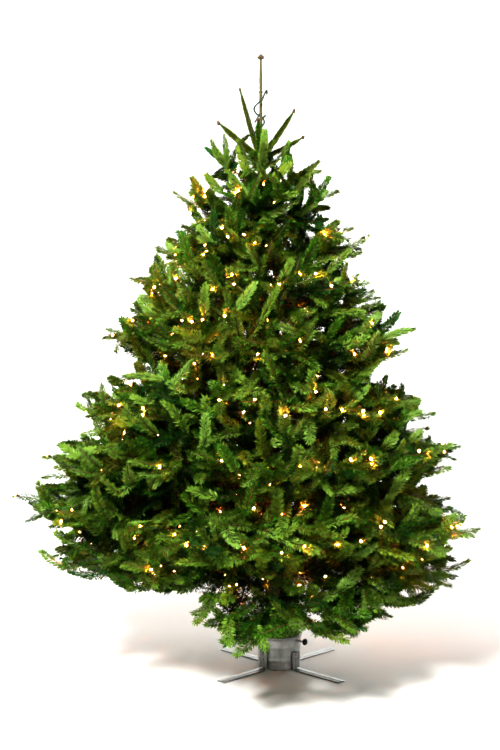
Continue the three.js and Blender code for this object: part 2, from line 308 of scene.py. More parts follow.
def out_and_aside(points, azimuth):
    """How far points lie out from the axis towards an azimuth, and how far to its side."""
    c, s = math.cos(azimuth), math.sin(azimuth)
    return points[:, 0] * c + points[:, 1] * s, points[:, 1] * c - points[:, 0] * s


# ---- Materials -----------------------------------------------------------------------------
def new_material(name, base, roughness, **sockets):
    """A material with one Principled shader, and its nodes and links."""
    material = bpy.data.materials.new(name)
    material.use_nodes = True
    nodes, links = material.node_tree.nodes, material.node_tree.links
    shader = nodes["Principled BSDF"]
    shader.inputs["Base Color"].default_value = (*base, 1)
    shader.inputs["Roughness"].default_value = roughness
    for name, value in sockets.items():
        shader.inputs[name.replace("_", " ").title().replace("Ior", "IOR")].default_value = value
    return material, nodes, links, shader


def plain(name, base, roughness, **sockets):
    """A material of one colour."""
    return new_material(name, base, roughness, **sockets)[0]


def textured(name, base, dark, scale, roughness, bump, stretch=(1, 1, 1), detail=8, **sockets):
    """A material whose colour and height follow one noise, stretched along the axes."""
    NOISE_ROUGHNESS, DARK_AT, PALE_AT = 0.65, 0.35, 0.66
    material, nodes, links, shader = new_material(name, base, roughness, **sockets)
    place = nodes.new("ShaderNodeTexCoord")
    mapping = nodes.new("ShaderNodeMapping")
    mapping.inputs["Scale"].default_value = stretch
    pattern = nodes.new("ShaderNodeTexNoise")
    pattern.inputs["Scale"].default_value = scale
    pattern.inputs["Detail"].default_value = detail
    pattern.inputs["Roughness"].default_value = NOISE_ROUGHNESS
    ramp = nodes.new("ShaderNodeValToRGB")
    for stop, at, shade in zip(ramp.color_ramp.elements, (DARK_AT, PALE_AT), (dark, base)):
        stop.position = at
        stop.color = (*shade, 1)
    height = nodes.new("ShaderNodeBump")
    height.inputs["Distance"].default_value = bump
    links.new(place.outputs["Object"], mapping.inputs["Vector"])
    links.new(mapping.outputs["Vector"], pattern.inputs["Vector"])
    links.new(pattern.outputs["Fac"], ramp.inputs["Fac"])
    links.new(ramp.outputs["Color"], shader.inputs["Base Color"])
    links.new(pattern.outputs["Fac"], height.inputs["Height"])
    links.new(height.outputs["Normal"], shader.inputs["Normal"])
    return material


# ---- Reading the frame -------------------------------------------------------------------
def vertices_of(node):
    """A node's vertices as an array."""
    mesh = CAD[node].data
    points = np.empty(len(mesh.vertices) * 3, np.float32)
    mesh.vertices.foreach_get("co", points)
    return points.reshape(-1, 3).astype(float)


def nodes_named(start):
    """The nodes whose names begin so, in order."""
    return sorted(name for name in CAD if name.startswith(start))


def read_trunk():
    """Height, middle and radius of each level of the trunk, from its foot to its tip."""
    SAME_LEVEL = 0.0006
    points = vertices_of("trunk")
    rows = []
    for level in np.unique(np.round(points[:, 2], 3)):
        ring = points[np.abs(points[:, 2] - level) < SAME_LEVEL]
        middle = (ring[:, :2].min(0) + ring[:, :2].max(0)) / 2
        rows.append((level, *middle, np.linalg.norm(ring[:, :2] - middle, axis=1).max()))
    return np.array(rows)


TRUNK = read_trunk()
TOP_WHORL = vertices_of("top_shoot_1")[:, 2].min()  # where the youngest side shoots start
WHORL_COUNT = 1 + max(int(name.split("_")[1]) for name in nodes_named("foliage_"))


def trunk_middle(height):
    """The middle of the trunk at a height."""
    x = np.interp(height, TRUNK[:, 0], TRUNK[:, 1])
    y = np.interp(height, TRUNK[:, 0], TRUNK[:, 2])
    return Vector((x, y, height))


def trunk_radius(height):
    """The radius of the trunk at a height."""
    return float(np.interp(height, TRUNK[:, 0], TRUNK[:, 3]))


@dataclass
class Bough:
    """A bough's line, from the middle of the trunk, and the tips of its foliage's fingers."""

    whorl: int
    foot: Vector
    tips: list  # the furthest first, then the others from one side to the other


def read_bough(node):
    """The bough that a mass of foliage stands for."""
    FOOT_DEPTH = 0.008  # how much further out than the first a limb's foot still has points
    FINGER_GAP = math.radians(2)  # between the rows of points of one finger and the next
    RIM = 0.004
    label = node.partition("_")[2]
    points = vertices_of(node)
    limb = f"bough_{label}"
    near = vertices_of(limb) if limb in CAD else points
    axis = np.array(trunk_middle(points[:, 2].mean()))
    from_axis = np.linalg.norm(near[:, :2] - axis[:2], axis=1)
    foot = trunk_middle(near[from_axis < from_axis.min() + FOOT_DEPTH, 2].mean())
    flat = points[:, :2] - axis[:2]
    distance = np.linalg.norm(flat, axis=1)
    furthest = distance.argmax()
    towards = flat[furthest] / distance[furthest]
    across = np.arctan2(towards[0] * flat[:, 1] - towards[1] * flat[:, 0], flat @ towards)
    order = np.argsort(across)
    groups = np.split(order, np.where(np.diff(across[order]) > FINGER_GAP)[0] + 1)
    rims = [group[distance[group] > distance[group].max() - RIM] for group in groups]
    reach = [distance[rim].max() for rim in rims]
    fingers = [
        points[rim].mean(0)
        for i, rim in enumerate(rims)
        if reach[i] > max(reach[max(i - 1, 0)], reach[min(i + 1, len(rims) - 1)]) - 1e-6
    ]
    fingers.sort(key=lambda tip: -np.linalg.norm(tip[:2] - axis[:2]))
    return Bough(int(label.split("_")[0]), foot, [Vector(tip) for tip in fingers])


def crown_solids():
    """One search tree over every mass of foliage."""
    points, faces, offset = [], [], 0
    for node in nodes_named("foliage_"):
        mesh = CAD[node].data
        points.extend(vertex.co for vertex in mesh.vertices)
        faces.extend([i + offset for i in face.vertices] for face in mesh.polygons)
        offset += len(mesh.vertices)
    return BVHTree.FromPolygons(points, faces)


class Outline:
    """How far the crown reaches from the trunk at every height and in every direction."""

    STEP = 0.02
    TURNS = 72
    GAP_ROWS = 3
    REACH_IN_GAP = 0.93, 0.95  # beside the boughs above and below, and those on either side
    NO_CROWN = 9.0

    def __init__(self, solids):
        rows = int(HEIGHT / self.STEP)
        reach = np.zeros((rows, self.TURNS))
        for row in range(rows):
            axis = trunk_middle(row * self.STEP)
            for i in range(self.TURNS):
                out = around(i * 2 * math.pi / self.TURNS)
                hit = solids.ray_cast(axis + out * BEYOND, -out)[0]
                if hit is not None:
                    reach[row, i] = (hit - axis).length
        # The gaps between the boughs belong to the crown, a little less far out.
        for way in [0] * self.GAP_ROWS + [1]:
            beside = np.maximum(np.roll(reach, 1, way), np.roll(reach, -1, way))
            reach = np.maximum(reach, beside * self.REACH_IN_GAP[way])
        self.reach = reach

    def share(self, point):
        """A point's distance from the trunk beside the crown's reach there: 1 at the outline."""
        axis = trunk_middle(point.z)
        x, y = point.x - axis.x, point.y - axis.y
        column = round(math.atan2(y, x) * self.TURNS / (2 * math.pi)) % self.TURNS
        row = min(max(round(point.z / self.STEP), 0), len(self.reach) - 1)
        reach = self.reach[row, column]
        return math.hypot(x, y) / reach if reach else self.NO_CROWN


# ---- Growth ------------------------------------------------------------------------------
# Length of needles by whorl, beside those of the lower boughs. Short ones stand closer.
NEEDLE_SCALE = {7: 0.95, 8: 0.86, 9: 0.78}
THIN_CROWN_FROM = 7  # from this whorl up, every shoot stands in the light
OLDEST_ORDER = 4
WAKING_YEARS = 4  # how long ago the first shoots grew from buds that woke on older wood


def outer(share):
    """0 in the crown's inside, 1 at its outline."""
    FROM, DEPTH = 0.6, 0.35
    return min(1.0, max(0.0, (share - FROM) / DEPTH))


@dataclass
class Shoot:
    """One year's growth: a curve from start to end that leaves start towards bend."""

    start: Vector
    bend: Vector
    end: Vector
    parent: int
    order: int
    year: int  # 1 is this year's
    whorl: int
    up: Vector
    share: float = 1  # where its end is between the trunk and the crown's outline
    scale: float = 1  # length of its needles, beside the longest
    tip_radius: float = 0
    foot_radius: float = 0
    is_tip: bool = True


@dataclass
class Bud:
    """The end of a shoot that grows on next year."""

    at: Vector
    heading: Vector
    order: int
    years: int
    length: float
    whorl: int
    parent: int = -1
    path: list = field(default_factory=list)  # where a bough or a main side limb must go
    fingers: dict = field(default_factory=dict)  # for a bough: the side limbs that start each year


def scattered(rng, spread):
    """A random offset."""
    return Vector([rng.gauss(0, spread) for _ in range(3)])


def bowed_path(start, heading, end, steps):
    """Points on the curve that leaves start along heading and arrives at end."""
    BOW = 0.45
    bend = start + heading * (end - start).length * BOW
    shares = [(i + 1) / steps for i in range(steps)]
    return [start * (1 - s) ** 2 + bend * 2 * s * (1 - s) + end * s * s for s in shares]


class Crown:
    """Grows every shoot of the tree."""

    # By a shoot's order: 0 is a bough, 1 its side limbs, and so on.
    PAIR_CHANCE = {0: 1.0, 1: 1.0, 2: 0.85, 3: 0.5}
    OUTER_PAIR_CHANCE = 0.9  # at the crown's outline, whatever the order
    UPPER_CHANCE = {0: 1.0, 1: 0.65, 2: 0.3, 3: 0.05}
    UNDER_CHANCE = {0: 0.7, 1: 0.4, 2: 0.15, 3: 0}
    LENGTH = {0: 1.0, 1: 1.0, 2: 0.9, 3: 0.82, 4: 0.75}
    LIFE = {1: 9, 2: 4, 3: 2, 4: 1}  # years that a shoot of each order goes on growing
    # Room. A leafy shoot is this much wider than it is high. The others go with the setting.
    FLATTER = 1.1
    INNER_ROOM = 1.08
    LIGHT_CLOSER = 0.2
    BARE_LIGHT = 0.8
    TARGET_ROOM = 0.88
    # How far from the solids a shoot may end: at the rim, above the bare boughs, inside them,
    # and beyond the outline with this year's shoots and older ones.
    RIM = 0.75
    RIM_SLACK, UPPER_SLACK, INNER_SLACK = 0.045, 0.09, 0.055
    YOUNG_SLACK, OLD_SLACK = 0.035, 0.02
    FURTHEST = 1.1
    CLEAR_OF_TRUNK = 0.012
    LEAFY_FROM = 0.6  # where along a shoot its needles' room is measured

    def __init__(self, settings):
        self.rng = random.Random(settings.seed)
        self.settings = settings
        self.solids = crown_solids()
        self.outline = Outline(self.solids)
        self.bare_from = vertices_of("bough_8_1")[:, 2].min()  # boughs above are bare at their feet
        self.shoots = []
        self.crowd = {}

    # What the surroundings allow
    def outside(self, point):
        """How far a point is out of the crown's solids, or 0 within them."""
        hits, origin = 0, point.copy()
        while True:
            hit = self.solids.ray_cast(origin, UP)[0]
            if hit is None:
                break
            hits += 1
            origin = hit + UP * 1e-5
        return 0.0 if hits % 2 else self.solids.find_nearest(point)[3]

    def within(self, point, share):
        """How far from the solids a place inside the crown's outline may be."""
        if share > self.RIM:
            return self.RIM_SLACK
        return self.UPPER_SLACK if point.z > self.bare_from else self.INNER_SLACK

    def room(self, point):
        """How far apart shoots stand here: closer at the crown's outline, where there is light."""
        upper = point.z > self.bare_from
        lit = self.BARE_LIGHT if upper else outer(self.outline.share(point))
        return self.settings.room * (self.INNER_ROOM - self.LIGHT_CLOSER * lit)

    def cell(self, point):
        """The cell of the grid, as wide as the room, that holds a point."""
        return tuple(int(math.floor(c / (self.settings.room * self.INNER_ROOM))) for c in point)

    def crowded(self, point, year):
        """Whether another leafy shoot is already too near."""
        x, y, z = self.cell(point)
        room = self.room(point)
        for i in (x - 1, x, x + 1):
            for j in (y - 1, y, y + 1):
                for k in (z - 1, z, z + 1):
                    for other, other_year in self.crowd.get((i, j, k), ()):
                        apart = other - point
                        apart.z *= self.FLATTER
                        if other_year <= year + 2 and apart.length < room:
                            return True
        return False

    def may_grow(self, start, end, year):
        """Whether a shoot stays in the crown, clear of the trunk and of its neighbours."""
        share = self.outline.share(end)
        slack = self.YOUNG_SLACK if year == 1 else self.OLD_SLACK
        if share < 1:
            slack = self.within(end, share)
        if share > self.FURTHEST or self.outside(end) > slack:
            return False
        middle, clear = trunk_middle(end.z), trunk_radius(end.z) + self.CLEAR_OF_TRUNK
        if Vector((end.x - middle.x, end.y - middle.y)).length < clear:
            return False
        return not self.crowded(start.lerp(end, self.LEAFY_FROM), year)

    # Growing
    def add(self, bud, bend, end, year):
        """Grows one shoot, and moves its bud to the shoot's end."""
        OUTWARD = 0.7  # a spray's upper side faces up and this much outward
        outward = end - trunk_middle(end.z)
        up = (UP + outward.normalized() * OUTWARD).normalized()
        shoot = Shoot(bud.at.copy(), bend, end, bud.parent, bud.order, year, bud.whorl, up,
                      self.outline.share(end), NEEDLE_SCALE.get(bud.whorl, 1))
        if bud.parent >= 0:
            self.shoots[bud.parent].is_tip = False
        self.shoots.append(shoot)
        middle = shoot.start.lerp(end, self.LEAFY_FROM)
        self.crowd.setdefault(self.cell(middle), []).append((middle, year))
        bud.parent = len(self.shoots) - 1
        bud.at = end
        bud.heading = (end - bend).normalized()

    def extend(self, bud, year):
        """Grows a bud for one year. False if there is no room for it."""
        RIM_LIFT, YOUNG_LIFT, OLD_LIFT = 0.17, 0.26, 0.08
        STRAY, WANDER = 0.006, 0.09
        LUCK, SHRINKS = (0.85, 1.15), (1, 0.85, 0.7)
        rng = self.rng
        if bud.path:
            end = bud.path.pop(0)
            if bud.path:
                end = end + scattered(rng, STRAY)
            bend = bud.at + bud.heading * (end - bud.at).length * 0.5
            self.add(bud, bend, end, year)
            return True
        length = bud.length * rng.uniform(*LUCK)
        young_lift = RIM_LIFT if self.outline.share(bud.at) > self.RIM else YOUNG_LIFT
        lift = young_lift if year < 3 else OLD_LIFT
        for shrink in SHRINKS:
            wander = scattered(rng, WANDER)
            heading = (bud.heading + UP * lift + wander).normalized()
            end = bud.at + heading * length * shrink
            if self.may_grow(bud.at, end, year):
                bend = bud.at + (bud.heading + heading).normalized() * length * shrink * 0.5
                self.add(bud, bend, end, year)
                return True
        return False

    def side_bud(self, bud, direction, year, life=9):
        """A new bud at the end of a shoot, to grow from next year."""
        order = bud.order + 1
        years = min(year - 1, self.LIFE[order], life)
        length = self.settings.year_length * self.LENGTH[order]
        return Bud(bud.at.copy(), direction, order, years, length, bud.whorl, bud.parent)

    def side_buds(self, bud, year):
        """The buds round the end of this year's shoot, beside its own end bud."""
        if year < 2 or bud.order == OLDEST_ORDER:
            return []
        LIMB_ASIDE, LIMB_RISE = 0.35, 0.1
        STEEPER_AT_RIM = 0.7
        ANGLE_SPREAD, TILTS = 0.1, (-0.3, 0.4)
        UPPER_ANGLES, UPPER_SPREAD = (0.55, 1.05), 0.45
        rng, side_angle = self.rng, self.settings.side_angle
        side = bud.heading.cross(UP).normalized()
        above = side.cross(bud.heading)
        found = []
        taken = set()
        for finger_tip, way in bud.fingers.get(year, ()):
            reach = finger_tip - bud.at
            level = Vector((reach.x, reach.y, 0)).normalized()
            heading = (level + side * way * LIMB_ASIDE + UP * LIMB_RISE).normalized()
            path = bowed_path(bud.at, heading, finger_tip, year - 1)
            found.append(Bud(bud.at.copy(), heading, 1, year - 1, self.settings.year_length,
                             bud.whorl, bud.parent, path))
            taken.add(way)
        chance = self.PAIR_CHANCE[bud.order]
        at_rim = self.outline.share(bud.at) > self.RIM
        if year < 4 and at_rim:
            chance = max(chance, self.OUTER_PAIR_CHANCE)
        for way in (1, -1):
            if way in taken or rng.random() > chance:
                continue
            angle = side_angle + rng.gauss(0, ANGLE_SPREAD)
            tilt = rng.uniform(*TILTS)
            direction = (bud.heading * math.cos(angle) + side * way * math.sin(angle)
                         + above * tilt).normalized()
            found.append(self.side_bud(bud, direction, year))
        for chance, way, life in ((self.UPPER_CHANCE, 1, 3), (self.UNDER_CHANCE, -1, 2)):
            for _ in range(2 if bud.order == 0 else 1):
                if rng.random() < chance[bud.order]:
                    angle = rng.uniform(*UPPER_ANGLES) * (STEEPER_AT_RIM if at_rim else 1)
                    direction = (bud.heading * math.cos(angle) + above * way * math.sin(angle)
                                 + side * rng.gauss(0, UPPER_SPREAD)).normalized()
                    found.append(self.side_bud(bud, direction, year, life))
        return found

    def bough_bud(self, bough):
        """The bud that a bough grows from, with its path and its main side limbs."""
        EARLY_RISE, SAG = 1.5, 0.045
        WIDE = math.radians(21)  # limbs that spread wider than this start further in
        WIDE_START, NARROW_START = 0.2, 0.42
        tip = bough.tips[0]
        level = Vector((tip.x - bough.foot.x, tip.y - bough.foot.y, 0))
        rise = tip.z - bough.foot.z
        length = math.hypot(level.length, rise)
        years = max(2, round(length / self.settings.year_length))

        def at(share):
            """A place on the bough's line."""
            lift = rise * (EARLY_RISE * share + (1 - EARLY_RISE) * share * share)
            sag = SAG * length * math.sin(math.pi * share * share)
            return bough.foot + level * share + UP * (lift - sag)

        heading = (at(0.05) - at(0)).normalized()
        bud = Bud(at(0), heading, 0, years, self.settings.year_length, bough.whorl)
        bud.path = [at((i + 1) / years) for i in range(years)]
        side = heading.cross(UP)
        for tip in bough.tips[1:]:
            spread = (tip - bough.foot).normalized().angle(level.normalized())
            early = WIDE_START if spread > WIDE else NARROW_START
            year = max(2, years - max(0, round(early * years) - 1))
            way = 1 if (tip - bough.foot).dot(side) > 0 else -1
            bud.fingers.setdefault(year, []).append((tip, way))
        return bud

    def trunk_buds(self, boughs):
        """Buds of the weak shoots that stand round the trunk between the whorls."""
        ABOVE, BELOW = 0.03, 0.01  # where they start over the lowest bough, and end
        WEAK_LENGTH, TURN, TURN_SPREAD = 0.09, 2.4, 0.2
        RISES, REACHES, APART = (0.1, 0.75), (0.4, 0.8), (0.006, 0.018)
        rng = self.rng
        feet = sorted({(round(bough.foot.z, 2), bough.whorl) for bough in boughs})
        buds, height, turn = [], feet[0][0] + ABOVE, 0.0
        while height < TOP_WHORL - BELOW:
            whorl = max(w for z, w in feet if z < height)
            turn += TURN + rng.gauss(0, TURN_SPREAD)
            heading = around(turn, rng.uniform(*RISES)).normalized()
            reach = self.outline.reach[round(height / Outline.STEP)].mean()
            years = min(4, max(1, round(reach * rng.uniform(*REACHES) / WEAK_LENGTH)))
            buds.append(Bud(trunk_middle(height), heading, 1, years, WEAK_LENGTH, whorl))
            height += rng.uniform(*APART)
        return buds

    def find_targets(self):
        """Places throughout the crown that light reaches, in no order."""
        LOWEST, HIGHEST, SLACK = 0.1, HEIGHT * 0.85, 0.6
        rng, room = self.rng, self.settings.room * self.TARGET_ROOM
        low, high = CAD_BOX
        found = []
        z = LOWEST
        while z < HIGHEST:
            y = low.y
            while y < high.y:
                x = low.x
                while x < high.x:
                    point = Vector((x, y, z)) + Vector([rng.uniform(0, room) for _ in range(3)])
                    share = self.outline.share(point)
                    if share < 1 and self.outside(point) < self.within(point, share) * SLACK:
                        found.append(point)
                    x += room
                y += room
            z += room / self.FLATTER
        rng.shuffle(found)
        return found

    def wake(self, year):
        """Buds that wake on older wood, wherever there is still room for a shoot."""
        WOOD_YEARS = 6  # how much older than the new shoot that wood may be
        NEAREST, FURTHEST = 0.025, 0.095
        SHORTEST, LONGEST = 0.075, 0.14
        BACKWARD, INWARD, NEAR_RIM = -0.1, 0.35, 0.7
        ends = [i for i, shoot in enumerate(self.shoots) if year < shoot.year < year + WOOD_YEARS]
        finder = KDTree(len(ends))
        for i, index in enumerate(ends):
            finder.insert(self.shoots[index].end, i)
        finder.balance()
        awake = []
        for target in self.targets:
            if self.crowded(target, year):
                continue
            outward = target - trunk_middle(target.z)
            level = Vector((outward.x, outward.y, 0)).normalized()
            at_rim = self.outline.share(target) > NEAR_RIM
            outward = outward.normalized() + UP * 0.3
            choices = []
            for _, i, distance in finder.find_n(target, 10):
                if NEAREST < distance < FURTHEST:
                    direction = (target - self.shoots[ends[i]].end).normalized()
                    choices.append((-direction.dot(outward), distance, i, direction))
            for _, distance, i, direction in sorted(choices, key=lambda choice: choice[:2]):
                parent = self.shoots[ends[i]]
                forward = (parent.end - parent.bend).normalized()
                length = min(LONGEST, max(SHORTEST, distance / self.LEAFY_FROM))
                end = parent.end + direction * length
                if direction.dot(forward) < BACKWARD or (at_rim and direction.dot(level) < INWARD):
                    continue
                if not self.may_grow(parent.end, end, year):
                    continue
                order = min(parent.order + 1, OLDEST_ORDER)
                bud = Bud(parent.end.copy(), direction, order, min(year - 1, self.LIFE[order]),
                          self.settings.year_length * self.LENGTH[order], parent.whorl, ends[i])
                bend = parent.end + (direction * 2 + forward).normalized() * length * 0.5
                self.add(bud, bend, end, year)
                if bud.years > 0:
                    awake.append(bud)
                break
        return awake

    def grow(self):
        """Every year's growth, from the oldest to this year's."""
        boughs = [read_bough(node) for node in nodes_named("foliage_")]
        buds = [self.bough_bud(bough) for bough in boughs] + self.trunk_buds(boughs)
        self.targets = self.find_targets()
        oldest = max(bud.years for bud in buds)
        for year in range(oldest, 0, -1):
            now = [bud for bud in buds if bud.years >= year or bud.parent >= 0]
            later = [bud for bud in buds if bud not in now]
            self.rng.shuffle(now)
            now.sort(key=lambda bud: (not bud.path, bud.order))
            new = []
            for bud in now:
                if self.extend(bud, year):
                    new.extend(self.side_buds(bud, year))
                    bud.years -= 1
                    if bud.order == 0 or bud.years > 0:
                        new.append(bud)
            buds = later + new + (self.wake(year) if year <= WAKING_YEARS else [])
        self.add_top_shoots()
        self.thicken()
        return self.shoots

    def add_top_shoots(self):
        """The youngest side shoots, each along its own solid, and the leader."""
        TOP_NEEDLES, LEADER_NEEDLES = 0.74, 0.27  # their length, beside the longest
        SAG = 0.008
        UNDER_BARK = 0.9
        FOOT_DEPTH, TIP_DEPTH, BUD = 0.006, 0.003, 0.02
        for node in nodes_named("top_shoot_"):
            points = vertices_of(node)
            middle = np.array(trunk_middle(points[:, 2].min()))
            distance = np.linalg.norm(points - middle, axis=1)
            foot = Vector(points[distance < distance.min() + FOOT_DEPTH].mean(0))
            end = Vector(points[distance > distance.max() - TIP_DEPTH].mean(0))
            start = trunk_middle(foot.z).lerp(foot, 0.5)
            bend = start.lerp(end, 0.45) - UP * SAG
            self.shoots.append(Shoot(start, bend, end, -1, 0, 1, WHORL_COUNT, UP.copy(),
                                     scale=TOP_NEEDLES))
        start, end = trunk_middle(TOP_WHORL), trunk_middle(TRUNK[-1, 0] - BUD)
        self.shoots.append(Shoot(start, start.lerp(end, 0.5), end, -1, -1, 1, WHORL_COUNT,
                                 Vector((0, -1, 0)), scale=LEADER_NEEDLES,
                                 foot_radius=trunk_radius(end.z) * UNDER_BARK))

    def thicken(self):
        """Sets every shoot's radii from what it carries, from the tips inward."""
        POWER, CARRIED = 2.3, 0.9
        TAPER, OLD_TAPER = 0.62, 1.03
        carried = [0.0] * len(self.shoots)
        thin = self.settings.twig_radius
        for i, shoot in reversed(list(enumerate(self.shoots))):
            shoot.tip_radius = max(thin * TAPER, carried[i] ** (1 / POWER))
            if shoot.order >= 0:
                shoot.foot_radius = max(thin, shoot.tip_radius * OLD_TAPER)
            if shoot.parent >= 0:
                carried[shoot.parent] += shoot.foot_radius ** POWER * CARRIED


def grown():
    """The tree's shoots, grown once."""
    if not hasattr(grown, "shoots"):
        grown.shoots = Crown(bpy.context.scene.fir_growth).grow()
    return grown.shoots


def as_arrays(shoots):
    """Start, bend, end and up of shoots as arrays."""
    return [np.array([getattr(s, part) for s in shoots]) for part in ("start", "bend", "end", "up")]


def along_curve(start, bend, end, share):
    """Places and directions at shares of curves."""
    share = share[..., None]
    place = start * (1 - share) ** 2 + bend * 2 * share * (1 - share) + end * share ** 2
    direction = unit((bend - start) * (1 - share) + (end - bend) * share)
    return place, direction


def by_whorl():
    """The shoots of each whorl, with the nodes that they stand for."""
    for whorl in range(1, WHORL_COUNT + 1):
        shoots = [s for s in grown() if s.whorl == whorl]
        if whorl == WHORL_COUNT:
            yield "top", whorl, shoots, nodes_named("top_shoot_")
        else:
            yield f"whorl_{whorl}", whorl, shoots, nodes_named(f"foliage_{whorl}_")


# ---- The trunk, twigs and needles --------------------------------------------------------
class FIR_OT_trunk(Operator):
    """Makes the trunk, with bark in relief, from its flat cut to the leader"""

    bl_idname = "fir.trunk"
    bl_label = "Trunk"

    def execute(self, context):
        bark = context.scene.fir_bark
        SIDES = 46
        STEP = 0.0075
        BUDS = 0.012  # the height of the buds on the leader's tip
        BUD_LEVELS = 3
        COLLAR, COLLAR_HEIGHT = 0.06, 0.016  # the trunk is thicker where boughs leave it
        ROUGH_RADIUS = 0.03  # a thinner trunk has smoother bark
        BLISTER, FEW_BLISTERS, SWELL = 1.4, 0.35, 0.03
        heights = np.arange(TRUNK[0, 0], TRUNK[-1, 0] - BUDS, STEP)
        whorls = np.array([read_bough(n).foot.z for n in nodes_named("foliage_")])
        middles = np.array([trunk_middle(h) for h in heights])
        plain_radius = np.interp(heights, TRUNK[:-BUD_LEVELS, 0], TRUNK[:-BUD_LEVELS, 3])
        collar = np.exp(-((heights[:, None] - whorls) / COLLAR_HEIGHT) ** 2).max(1) * COLLAR
        points = np.empty((len(heights), SIDES, 3))
        for row, height in enumerate(heights):
            radius = plain_radius[row] * (1 + collar[row])
            relief = bark.relief * min(1, radius / ROUGH_RADIUS)
            for i, angle in enumerate(turns(SIDES)):
                out = around(angle)
                # Ridges that run up the trunk, small blisters of resin, and a slight swell.
                ridge = noise.fractal(out * radius * 40 + UP * height * 14, 0.9, 2.2, 4)
                blister = max(0, noise.noise(out * radius * 90 + UP * height * 140) - FEW_BLISTERS)
                lump = 1 + SWELL * noise.noise(out * 1.3 + UP * height * 7)
                bump = relief * (ridge + BLISTER * blister)
                points[row, i] = middles[row] + np.array(out) * (radius * lump + bump - relief * 0.5)
        material = textured("trunk_bark", bark.trunk, (0.06, 0.045, 0.03), 60, 0.85, 0.0025,
                            (1, 1, 0.5), 10)
        young = textured("leader_bark", bark.leader, (0.05, 0.045, 0.015), 120, 0.7, 0.001)
        rows = np.arange(len(heights) - 1)
        row_of_face = np.concatenate([np.repeat(rows, SIDES), [0, len(heights)]])
        slots = (row_of_face > np.searchsorted(heights, TOP_WHORL)).astype(int)
        faces = ring_faces(len(heights), SIDES)
        trunk = make_piece("trunk_with_bark", points, faces, [material, young], slots)
        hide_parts("trunk")
        return {"FINISHED"}


class FIR_OT_twigs(Operator):
    """Makes the wood of the boughs and twigs, one piece for each whorl"""

    bl_idname = "fir.twigs"
    bl_label = "Boughs and twigs"
    PLAIN_ROWS, RIM_ROWS, STOUT_ROWS = 2, 3, 6
    STOUT, ROUGH = 0.004, 0.005  # radii from which wood is rounder, and from which it has bark
    RIM = 0.8

    def execute(self, context):
        bark = context.scene.fir_bark
        materials = [
            textured("young_shoot", bark.shoot, (0.12, 0.075, 0.02), 160, 0.6, 0.0006),
            textured("old_twig", bark.twig, (0.035, 0.025, 0.015), 110, 0.8, 0.001),
            textured("bough_bark", bark.trunk, (0.05, 0.035, 0.025), 80, 0.85, 0.0018),
        ]
        for name, whorl, shoots, nodes in by_whorl():
            parts = []
            for rows in (self.PLAIN_ROWS, self.RIM_ROWS, self.STOUT_ROWS):
                stout = rows == self.STOUT_ROWS
                chosen = [s for s in shoots if self.rows(s) == rows]
                if not chosen:
                    continue
                start, bend, end, up = as_arrays(chosen)
                share = np.tile(np.linspace(0, 1, rows), (len(chosen), 1))
                lines, _ = along_curve(start[:, None], bend[:, None], end[:, None], share)
                foot = np.array([s.foot_radius for s in chosen])[:, None]
                tip = np.array([s.tip_radius for s in chosen])[:, None]
                radii = foot * (1 - share) + tip * share
                if stout:
                    wobble = np.sin(np.arange(rows) * 2.1 + np.arange(len(chosen))[:, None] * 1.7)
                    radii = radii * (1 + 0.05 * wobble)
                sides = 7 if stout else 3
                kind = np.array([0 if s.year == 1 else 1 if s.foot_radius < self.ROUGH else 2
                                 for s in chosen])
                slots = [np.repeat(kind, sides * (rows - 1)), np.tile(kind, 2)]
                parts.append((*tubes(lines, radii, up + 1e-3, sides), slots))
            points, faces, slots = joined(parts)
            piece = make_piece(f"twigs_{name}", points, faces, materials, slots)
            limbs = nodes_named(f"bough_{whorl}_")
            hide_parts(*nodes, *limbs)
        return {"FINISHED"}

    def rows(self, shoot):
        """How many rings of points a shoot's wood has. The leader is part of the trunk."""
        if shoot.order < 0:
            return 0
        if shoot.foot_radius > self.STOUT:
            return self.STOUT_ROWS
        return self.RIM_ROWS if shoot.share > self.RIM else self.PLAIN_ROWS


MOST_FACES = 180000  # in one piece
# Share of its needles that a shoot still has, by its age in years.
NEEDLES_LEFT = {1: 1.0, 2: 1.0, 3: 0.8, 4: 0.45}
# How often each green is dealt to a spray: by the shoot's age, and to young ones at the crown's
# outline, in the light, whose paler and brighter greens are painted light.
GREENS = ("pale", "bright", "yellow", "middle", "deep", "olive", "cool")
# The paler green of each green: a needle's pale underside and also a painted highlight on single
# needles.
PALER = {"bright": "pale", "yellow": "pale", "middle": "bright", "deep": "middle",
         "olive": "yellow", "cool": "middle"}
GREEN_SHARES = {
    "outer": (0.12, 0.42, 0.08, 0.26, 0.05, 0.02, 0.05),
    1: (0.0, 0.22, 0.04, 0.44, 0.18, 0.02, 0.1),
    2: (0.0, 0.08, 0.03, 0.38, 0.38, 0.05, 0.08),
    3: (0.0, 0.01, 0.0, 0.18, 0.62, 0.15, 0.04),
    "top": (0.0, 0.15, 0.5, 0.05, 0.0, 0.3, 0.0),
    "leader": (0.0, 0.0, 0.0, 0.0, 0.0, 1.0, 0.0),
}


